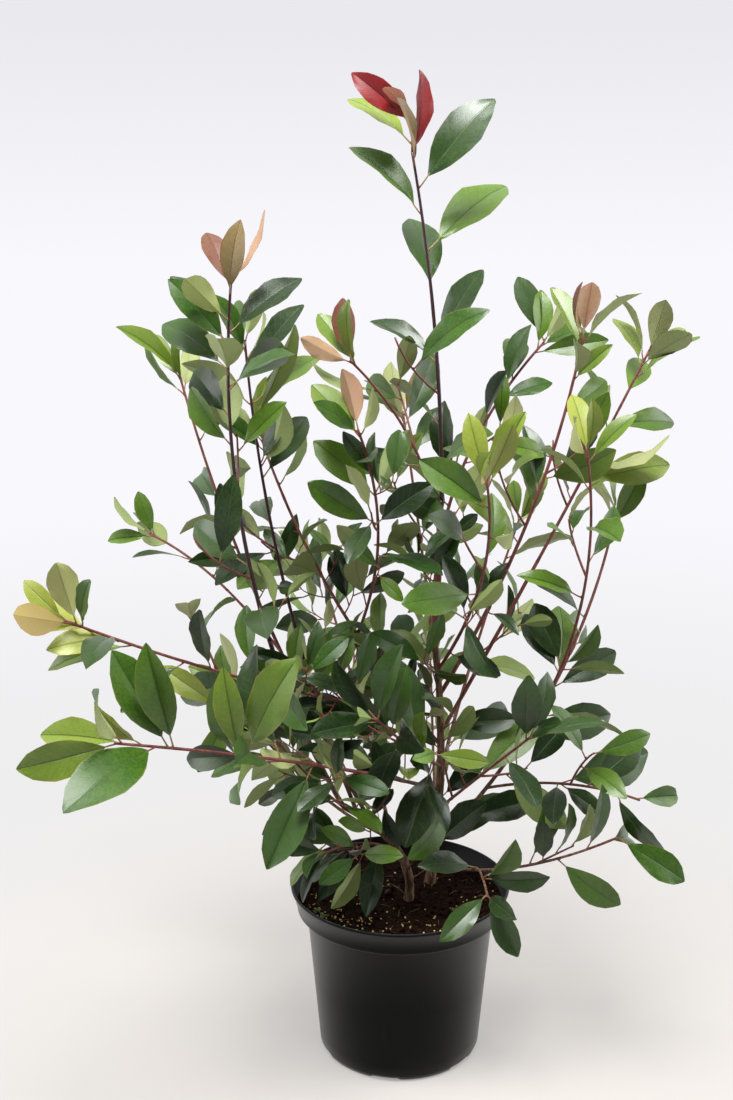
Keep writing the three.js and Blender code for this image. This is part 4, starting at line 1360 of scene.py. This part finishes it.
def make_wood(shoots):
    bark = wood_finish("bark", rgb(132, 102, 82), rgb(74, 52, 40), rgb(124, 66, 58), rgb(84, 44, 42))
    stem, bough, young, side = (rod_shape(*rod) for rod in (STEM_ROD, BOUGH_ROD, YOUNG_ROD, SIDE_TWIG_ROD))
    stems, boughs, young_shoots = Heap(), Heap(), Heap()
    for number, name in enumerate(STEMS):
        limb = limbs[name]
        relief = bark_relief(limb, STEM["seed"] * number, STEM["relief"])
        tone = young_share(np.array([limb.radius(t) for t in stem.points[:, 2]])) + STEM["older"]
        stems.add(stem, bend_rod(limb, stem, STEM["from"], 1, relief), np.clip(tone, 0, 1))
    for number, shoot in enumerate(shoots):
        limb, bare = limbs[shoot["name"]], shoot["bare"]
        seed = BOUGH["seed"] * number
        purple = PURPLE if shoot["name"] in PURPLE_SHOOTS else 0
        if bare > 0:
            share = bough.points[:, 2]
            relief = bark_relief(limb, seed, BOUGH["relief"])
            points = bend_rod(limb, bough, 0, bare + OVERLAP, relief, SLIM)
            tone = young_share(lerp(limb.thick, limb.thin, share * bare)) - share * purple
            boughs.add(bough, points, tone + low_share(points))
        relief = bark_relief(limb, seed, BOUGH["young_relief"])
        points = bend_rod(limb, young, bare, 1, relief, SLIM)
        tone = young_share(lerp(limb.thick, limb.thin, lerp(bare, 1, young.points[:, 2]))) - purple
        young_shoots.add(young, points, tone + low_share(points))
    for twig in twigs:
        young_shoots.add(side, bend_rod(twig, side, 0, 1, thin=SIDE_TWIG_SLIM), SIDE_TWIG_TONE)
    add_piece(stems.mesh("stems"), (bark,), list(STEMS))
    nodes = sorted(name for name in frame["nodes"] if name.startswith("bough_"))
    add_piece(boughs.mesh("boughs"), (bark,), nodes)
    add_piece(young_shoots.mesh("young_shoots"), (bark,))


STALK = {"keys": 700000, "into_blade": 0.05, "bow": -0.9, "radii": (1.05, 0.8), "rod": (5, 3)}
BUD = {"off": 0.9, "above": 2.2, "radius": 0.9, "lean": 0.3, "length": 2.0, "tone": 0.1}


def make_stalks():
    """The leaf stalks, and a small bud in the corner above each leaf that is not on a spur."""
    stalk = rod_shape(*STALK["rod"])
    bud = lump_shape(1)
    heap = Heap()
    for leaf in leaves:
        draw = make_draw(leaf["key"] + STALK["keys"])
        end = leaf["base"] + leaf["ahead"] * (STALK["into_blade"] * leaf["length"])
        limb = Limb(leaf["root"], end, leaf["face"] * (STALK["bow"] * draw()), *STALK["radii"])
        heap.add(stalk, bend_rod(limb, stalk, 0, 1), draw())
        if leaf.get("spur"):
            continue
        stem = leaf["limb"]
        ahead = stem.ahead(leaf["t"])
        side = (leaf["ahead"] - ahead * leaf["ahead"].dot(ahead)).normalized()
        place = leaf["root"] + side * (stem.radius(leaf["t"]) * BUD["off"]) + ahead * BUD["above"]
        turn = np.array([side * BUD["radius"], ahead.cross(side) * BUD["radius"],
                         (ahead + side * BUD["lean"]) * BUD["length"]])
        heap.add(bud, np.array(place) + bud.points @ turn, BUD["tone"])
    finish = mottled_finish("leaf_stalk", Specular_IOR_Level=0.45)
    add_piece(heap.mesh("leaf_stalks"), (finish,))


# ---- Pot --------------------------------------------------------------------------------------------

NECK_DROP = 5  # from the collar's lower edge to the top of the plain wall
POT = {
    "collar_foot": (131.5, 192),  # radius and height of the collar's lower edge
    "wall_top": 119.5,
    "wall_foot": 103.5,
    "wall_middle": 98,  # height
    "wall": 2,
    "steps": 144,
    # The outline round a corner, as steps out and up from it
    "foot": ((-8, 0), (-2.6, 2.2), (0, 8), (1.2, 22)),
    "neck": ((0, -NECK_DROP), (2, -2.4)),
    "collar": ((-1.2, -1.4), (0.3, 0), (0.2, 2.2)),
    "inner_collar": ((-2, -0.5),),
    "rim": ((-2.4, -4.6), (-0.6, -3.6), (0, -1.6), (-0.5, -0.1), (-2.6, 0), (-3.3, -1.4)),
    "inner_foot": ((-2, 8), (-8, 3)),
}
NOTCH = {"first": -101, "apart": 60, "width": 36, "height": 4, "depth": 9, "below": 2.3}


def round_corner(radius, height, steps):
    return [(radius + out, height + up) for out, up in steps]


def spun(outline, steps):
    """An outline of radius and height, in millimetres, closed at the axis and turned once round it."""
    made = bmesh.new()
    closed = [(0, outline[0][1]), *outline, (0, outline[-1][1])]
    corners = [made.verts.new((radius * MM, 0, height * MM)) for radius, height in closed]
    for pair in zip(corners, corners[1:]):
        made.edges.new(pair)
    bmesh.ops.spin(made, geom=list(made.verts) + list(made.edges), axis=(0, 0, 1), cent=(0, 0, 0),
                   dvec=(0, 0, 0), angle=2 * math.pi, steps=steps, use_merge=True, use_duplicate=False)
    bmesh.ops.remove_doubles(made, verts=made.verts, dist=1e-6)
    bmesh.ops.recalc_face_normals(made, faces=made.faces)
    return made


def cut_notches(made):
    """Low arches in the foot."""
    for vertex in made.verts:
        angle = math.degrees(math.atan2(vertex.co.y, vertex.co.x)) - NOTCH["first"]
        off = (angle + NOTCH["apart"] / 2) % NOTCH["apart"] - NOTCH["apart"] / 2
        half = math.degrees(NOTCH["width"] / 2 / POT["wall_foot"])
        radius = math.hypot(vertex.co.x, vertex.co.y) / MM
        in_foot = radius > POT["wall_foot"] - NOTCH["depth"] and vertex.co.z < NOTCH["below"] * MM
        if abs(off) < half and in_foot:
            vertex.co.z = NOTCH["height"] * MM


def plastic_finish():
    """Black plastic, rubbed here and there, with dust at the foot and a sheen where it turns away."""
    plastic = Finish("black_plastic", Specular_IOR_Level=0.1, Coat_Roughness=0.42)
    cloud = plastic.speckle(9, 4.0)
    fine = plastic.speckle(900, 2.0)
    rub = plastic.speckle(40, 5.0, (1, 1, 0.25)).rise(0.6, 0.78)
    dust = (1 - plastic.place().axis("Z").rise(0.0, 0.05)) * cloud.rise(0.4, 0.7)
    color = plastic.blend(cloud * 0.7, rgb(4, 5, 6), rgb(8, 9, 10))
    plastic.set("Base Color", plastic.blend(rub * 0.25 + dust * 0.25, color, rgb(46, 45, 44)))
    plastic.set("Roughness", 0.42 + cloud * 0.12 + rub * 0.15)
    away = plastic.node("ShaderNodeLayerWeight", None, {"Blend": 0.5}, output="Facing")
    plastic.set("Coat Weight", away.rise(0.2, 0.9) * 0.95)
    plastic.bump(fine * 0.5 + cloud, 0.0002, 0.5)
    return plastic


def make_pot():
    rim, _, top = (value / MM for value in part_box("pot")[1])
    collar, ledge = POT["collar_foot"]
    foot, neck = POT["wall_foot"], POT["wall_top"]
    outline = round_corner(foot, 0, POT["foot"]) + [(lerp(foot, neck, 0.5), POT["wall_middle"])]
    outline += round_corner(neck, ledge, POT["neck"]) + round_corner(collar, ledge, POT["collar"])
    outline += round_corner(rim, top, POT["rim"]) + round_corner(collar, ledge, POT["inner_collar"])
    outline += [(neck - POT["wall"], ledge - NECK_DROP)] + round_corner(foot, 0, POT["inner_foot"])
    made = spun(outline, POT["steps"])
    cut_notches(made)
    add_piece(settle(made, "pot_shell"), (plastic_finish(),), ("pot",))


# ---- Soil -------------------------------------------------------------------------------------------

SOIL = {
    "rings": 64,
    "steps": 200,
    "level": -0.8,  # of the surface, off the solid's
    "mound": 2.0,  # how high the soil stands up round a stem
    "mound_spread": 260,
    "edge": 6,  # over which the surface calms down to the pot
    "edge_share": 0.25,
    "gap": 2.6,  # to the pot's corners
    "foot": ((-1, 12), (-8, 3.3)),  # the outline there, as the pot's is given
    "border": 3,  # at the pot, without crumbs
}
# The soil's unevenness: how high, how fine, and from where in the noise
LUMPS = ((2.3, 0.03, (0, 0, 0)), (1.5, 0.09, (5, 1, 0)), (0.9, 0.27, (0, 0, 0)), (0.5, 0.7, (0, 0, 0)))
# What lies on the soil, with its sizes and how far its middle stands above the surface
CRUMBS = {"count": 1500, "size": 0.5, "more": 2.2, "skew": 0.45, "rough": 0.25, "lift": 0.3}
GRAINS = {"count": 240, "size": (0.75, 1.35), "flat": (1, 1, 0.92), "lift": 0.55}
FIBRES = {"count": 70, "length": (5, 17), "lift": 0.8, "tip_lift": (0.6, 3), "bow": 0.6,
          "radii": (0.35, 0.2)}
BARE_FOOT = 9  # round a stem, without crumbs
FEED_SIDE = {"least": 0.04, "front": 0.75, "left": 0.45, "power": 1.5}  # where the grains of feed lie


def soil_height(x, y):
    """How far the soil stands off its level at a place, in millimetres."""
    here = Vector((x, y, 0))
    height = SOIL["level"]
    for high, fine, shift in LUMPS:
        height += high * noise.noise(here * fine + Vector(shift))
    for foot, *_ in STEMS.values():
        off = (x - foot[0]) ** 2 + (y - foot[1]) ** 2
        height += SOIL["mound"] * math.exp(-off / SOIL["mound_spread"])
    return height


def make_soil():
    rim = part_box("soil")[1][0] / MM
    collar, ledge = POT["collar_foot"]
    foot = POT["wall_foot"] - POT["wall"] - CLEAR
    outline = [(rim * ring / SOIL["rings"], SOIL_TOP) for ring in range(1, SOIL["rings"] + 1)]
    outline += [(collar - SOIL["gap"], ledge), (POT["wall_top"] - SOIL["gap"], ledge - NECK_DROP)]
    made = spun(outline + round_corner(foot, 0, SOIL["foot"]), SOIL["steps"])
    for vertex in made.verts:
        if vertex.co.z > (SOIL_TOP - 1) * MM:
            x, y = vertex.co.x / MM, vertex.co.y / MM
            edge = min(1, (rim - math.hypot(x, y)) / SOIL["edge"])
            vertex.co.z += soil_height(x, y) * MM * max(SOIL["edge_share"], edge)
    earth = Finish("potting_soil", Specular_IOR_Level=0.05)
    lump = earth.speckle(160, 6.0)
    fleck = earth.speckle(420, 3.0)
    color = earth.blend(lump.rise(0.3, 0.72), rgb(6, 3, 2), rgb(38, 21, 13))
    earth.set("Base Color", earth.blend(fleck.rise(0.6, 0.74) * 0.5, color, rgb(92, 58, 36)))
    earth.set("Roughness", 0.84 + lump * 0.14)
    earth.bump(lump + fleck * 0.4, 0.0022, 1.0)
    add_piece(settle(made, "soil_body"), (earth,), ("soil",))
    scatter_soil(earth, rim - SOIL["border"])


def scatter_soil(earth, reach):
    """Crumbs all over, pale grains of feed mostly towards the front and left, and fibres of peat."""
    rng = random.Random(SEEDS["soil"])
    crumb, grain, fibre = lump_shape(1), lump_shape(2), rod_shape(4, 3)
    crumbs, grains, fibres = Heap(), Heap(), Heap()
    feet = [Vector(foot) for foot, *_ in STEMS.values()]

    def spot(feed=False):
        while True:
            angle = rng.uniform(0, 2 * math.pi)
            radius = reach * math.sqrt(rng.random())
            x, y = radius * math.cos(angle), radius * math.sin(angle)
            if min((Vector((x, y)) - foot).length for foot in feet) < BARE_FOOT:
                continue
            side = max(0, (-FEED_SIDE["front"] * y - FEED_SIDE["left"] * x) / reach)
            if not feed or rng.random() < FEED_SIDE["least"] + side ** FEED_SIDE["power"]:
                return x, y

    def on_soil(x, y, lift):
        return x, y, SOIL_TOP + soil_height(x, y) + lift

    for _ in range(CRUMBS["count"]):
        x, y = spot()
        size = CRUMBS["size"] + CRUMBS["more"] * rng.random() ** 3
        turn = np.array([[rng.uniform(-1, 1) for _ in range(3)] for _ in range(3)])
        turn = turn * CRUMBS["skew"] + np.eye(3)
        rough = 1 + CRUMBS["rough"] * np.array([rng.uniform(-1, 1) for _ in crumb.points])[:, None]
        crumbs.add(crumb, crumb.points * rough @ turn * size + on_soil(x, y, CRUMBS["lift"] * size))
    for _ in range(GRAINS["count"]):
        x, y = spot(feed=True)
        size = rng.uniform(*GRAINS["size"])
        points = grain.points * size * GRAINS["flat"] + on_soil(x, y, GRAINS["lift"] * size)
        grains.add(grain, points, rng.random())
    for _ in range(FIBRES["count"]):
        x, y = spot()
        angle = rng.uniform(0, 2 * math.pi)
        length = rng.uniform(*FIBRES["length"])
        tip_x, tip_y = x + length * math.cos(angle), y + length * math.sin(angle)
        if math.hypot(tip_x, tip_y) > reach:
            continue
        tip = on_soil(tip_x, tip_y, rng.uniform(*FIBRES["tip_lift"]))
        bow = (rng.uniform(-1, 1), rng.uniform(-1, 1), FIBRES["bow"])
        limb = Limb(on_soil(x, y, FIBRES["lift"]), tip, bow, *FIBRES["radii"])
        fibres.add(fibre, bend_rod(limb, fibre, 0, 1), rng.random())
    add_piece(crumbs.mesh("soil_crumbs"), (earth,))
    for name, heap in (("feed_grains", grains), ("peat_fibres", fibres)):
        add_piece(heap.mesh(name), (mottled_finish(name),))


# ---- Weeds and dry twigs ----------------------------------------------------------------------------

WEEDS = ((-106, -40, 9), (-97, -52, 6), (68, -40, 5))  # place on the soil and number of leaves
WEED = {"root": 0.4, "reach": (2, 6), "height": (2, 7), "radii": (0.35, 0.25), "bow": (0, 0, 0.6),
        "tone": 0.6, "leaf": (1.6, 2.9), "long": 0.3, "narrow": 0.8, "thick": 0.35}
DRY_TWIGS = {"count": 9, "along": (0.04, 0.3), "first_turn": 40, "away": 0.8, "rise": (0.15, 0.9),
             "reach": (35, 95), "bow": 0.09, "radii": (1.1, 0.5), "relief": 0.12, "tone": 0.3,
             "rod": (3, 3)}  # sides and steps while it is tried


def make_weeds():
    """Seedlings of a few round leaves at the pot's rim."""
    rng = random.Random(SEEDS["weeds"])
    blade, stalk = lump_shape(1), rod_shape(4, 2)
    heap = Heap()
    for x, y, count in WEEDS:
        root = Vector((x, y, SOIL_TOP + soil_height(x, y) + WEED["root"]))
        for i in range(count):
            turn = math.radians(GOLDEN * i)
            out = Vector((math.cos(turn), math.sin(turn), 0))
            side = Vector((-math.sin(turn), math.cos(turn), 0))
            tip = root + out * rng.uniform(*WEED["reach"]) + UP * rng.uniform(*WEED["height"])
            limb = Limb(root, tip, WEED["bow"], *WEED["radii"])
            heap.add(stalk, bend_rod(limb, stalk, 0, 1), WEED["tone"])
            size = rng.uniform(*WEED["leaf"])
            lean = np.array(((out + UP * WEED["long"]).normalized() * size, side * size * WEED["narrow"],
                             UP * WEED["thick"]))
            heap.add(blade, blade.points @ lean + np.array(tip), rng.random())
    add_piece(heap.mesh("weeds"), (mottled_finish("weed_leaf"),))


def make_dry_twigs():
    """Thin dead twigs low on the stems."""
    rng = random.Random(SEEDS["dry_twigs"])
    shape = rod_shape(6, 10)
    heap = Heap()
    names = list(STEMS)
    for number in range(DRY_TWIGS["count"]):
        stem = limbs[names[number % len(names)]]
        t = lerp(*DRY_TWIGS["along"], rng.random())
        foot = stem.point(t)
        away = stem.away(t, GOLDEN * number + DRY_TWIGS["first_turn"])
        reach = lerp(*DRY_TWIGS["reach"], rng.random())
        way = (away * DRY_TWIGS["away"] + UP * rng.uniform(*DRY_TWIGS["rise"])).normalized()
        bow = Vector((rng.uniform(-1, 1), rng.uniform(-1, 1), rng.uniform(-0.4, 1)))
        twig = Limb(foot, foot + way * reach, bow * (reach * DRY_TWIGS["bow"]), *DRY_TWIGS["radii"])
        if not room.meets(*tube_space(twig, 0, 1, *DRY_TWIGS["rod"]), names):
            relief = bark_relief(twig, number, DRY_TWIGS["relief"])
            heap.add(shape, bend_rod(twig, shape, 0, 1, relief), DRY_TWIGS["tone"])
    bark = wood_finish("dry_bark", rgb(140, 108, 84), rgb(92, 66, 50), rgb(128, 92, 70), rgb(84, 58, 46))
    add_piece(heap.mesh("dry_twigs"), (bark,))


# ---- Making it all ----------------------------------------------------------------------------------

bpy.context.scene.view_settings.view_transform = "Standard"
set_camera()
light_studio()
lay_floor()
shoots = grow_frame_plant()
drop_leaves()
grow_tips()
grow_late_leaves()
grow_spurs(shoots)
make_leaves(shoots)
make_wood(shoots)
make_stalks()
make_dry_twigs()
make_pot()
make_soil()
make_weeds()
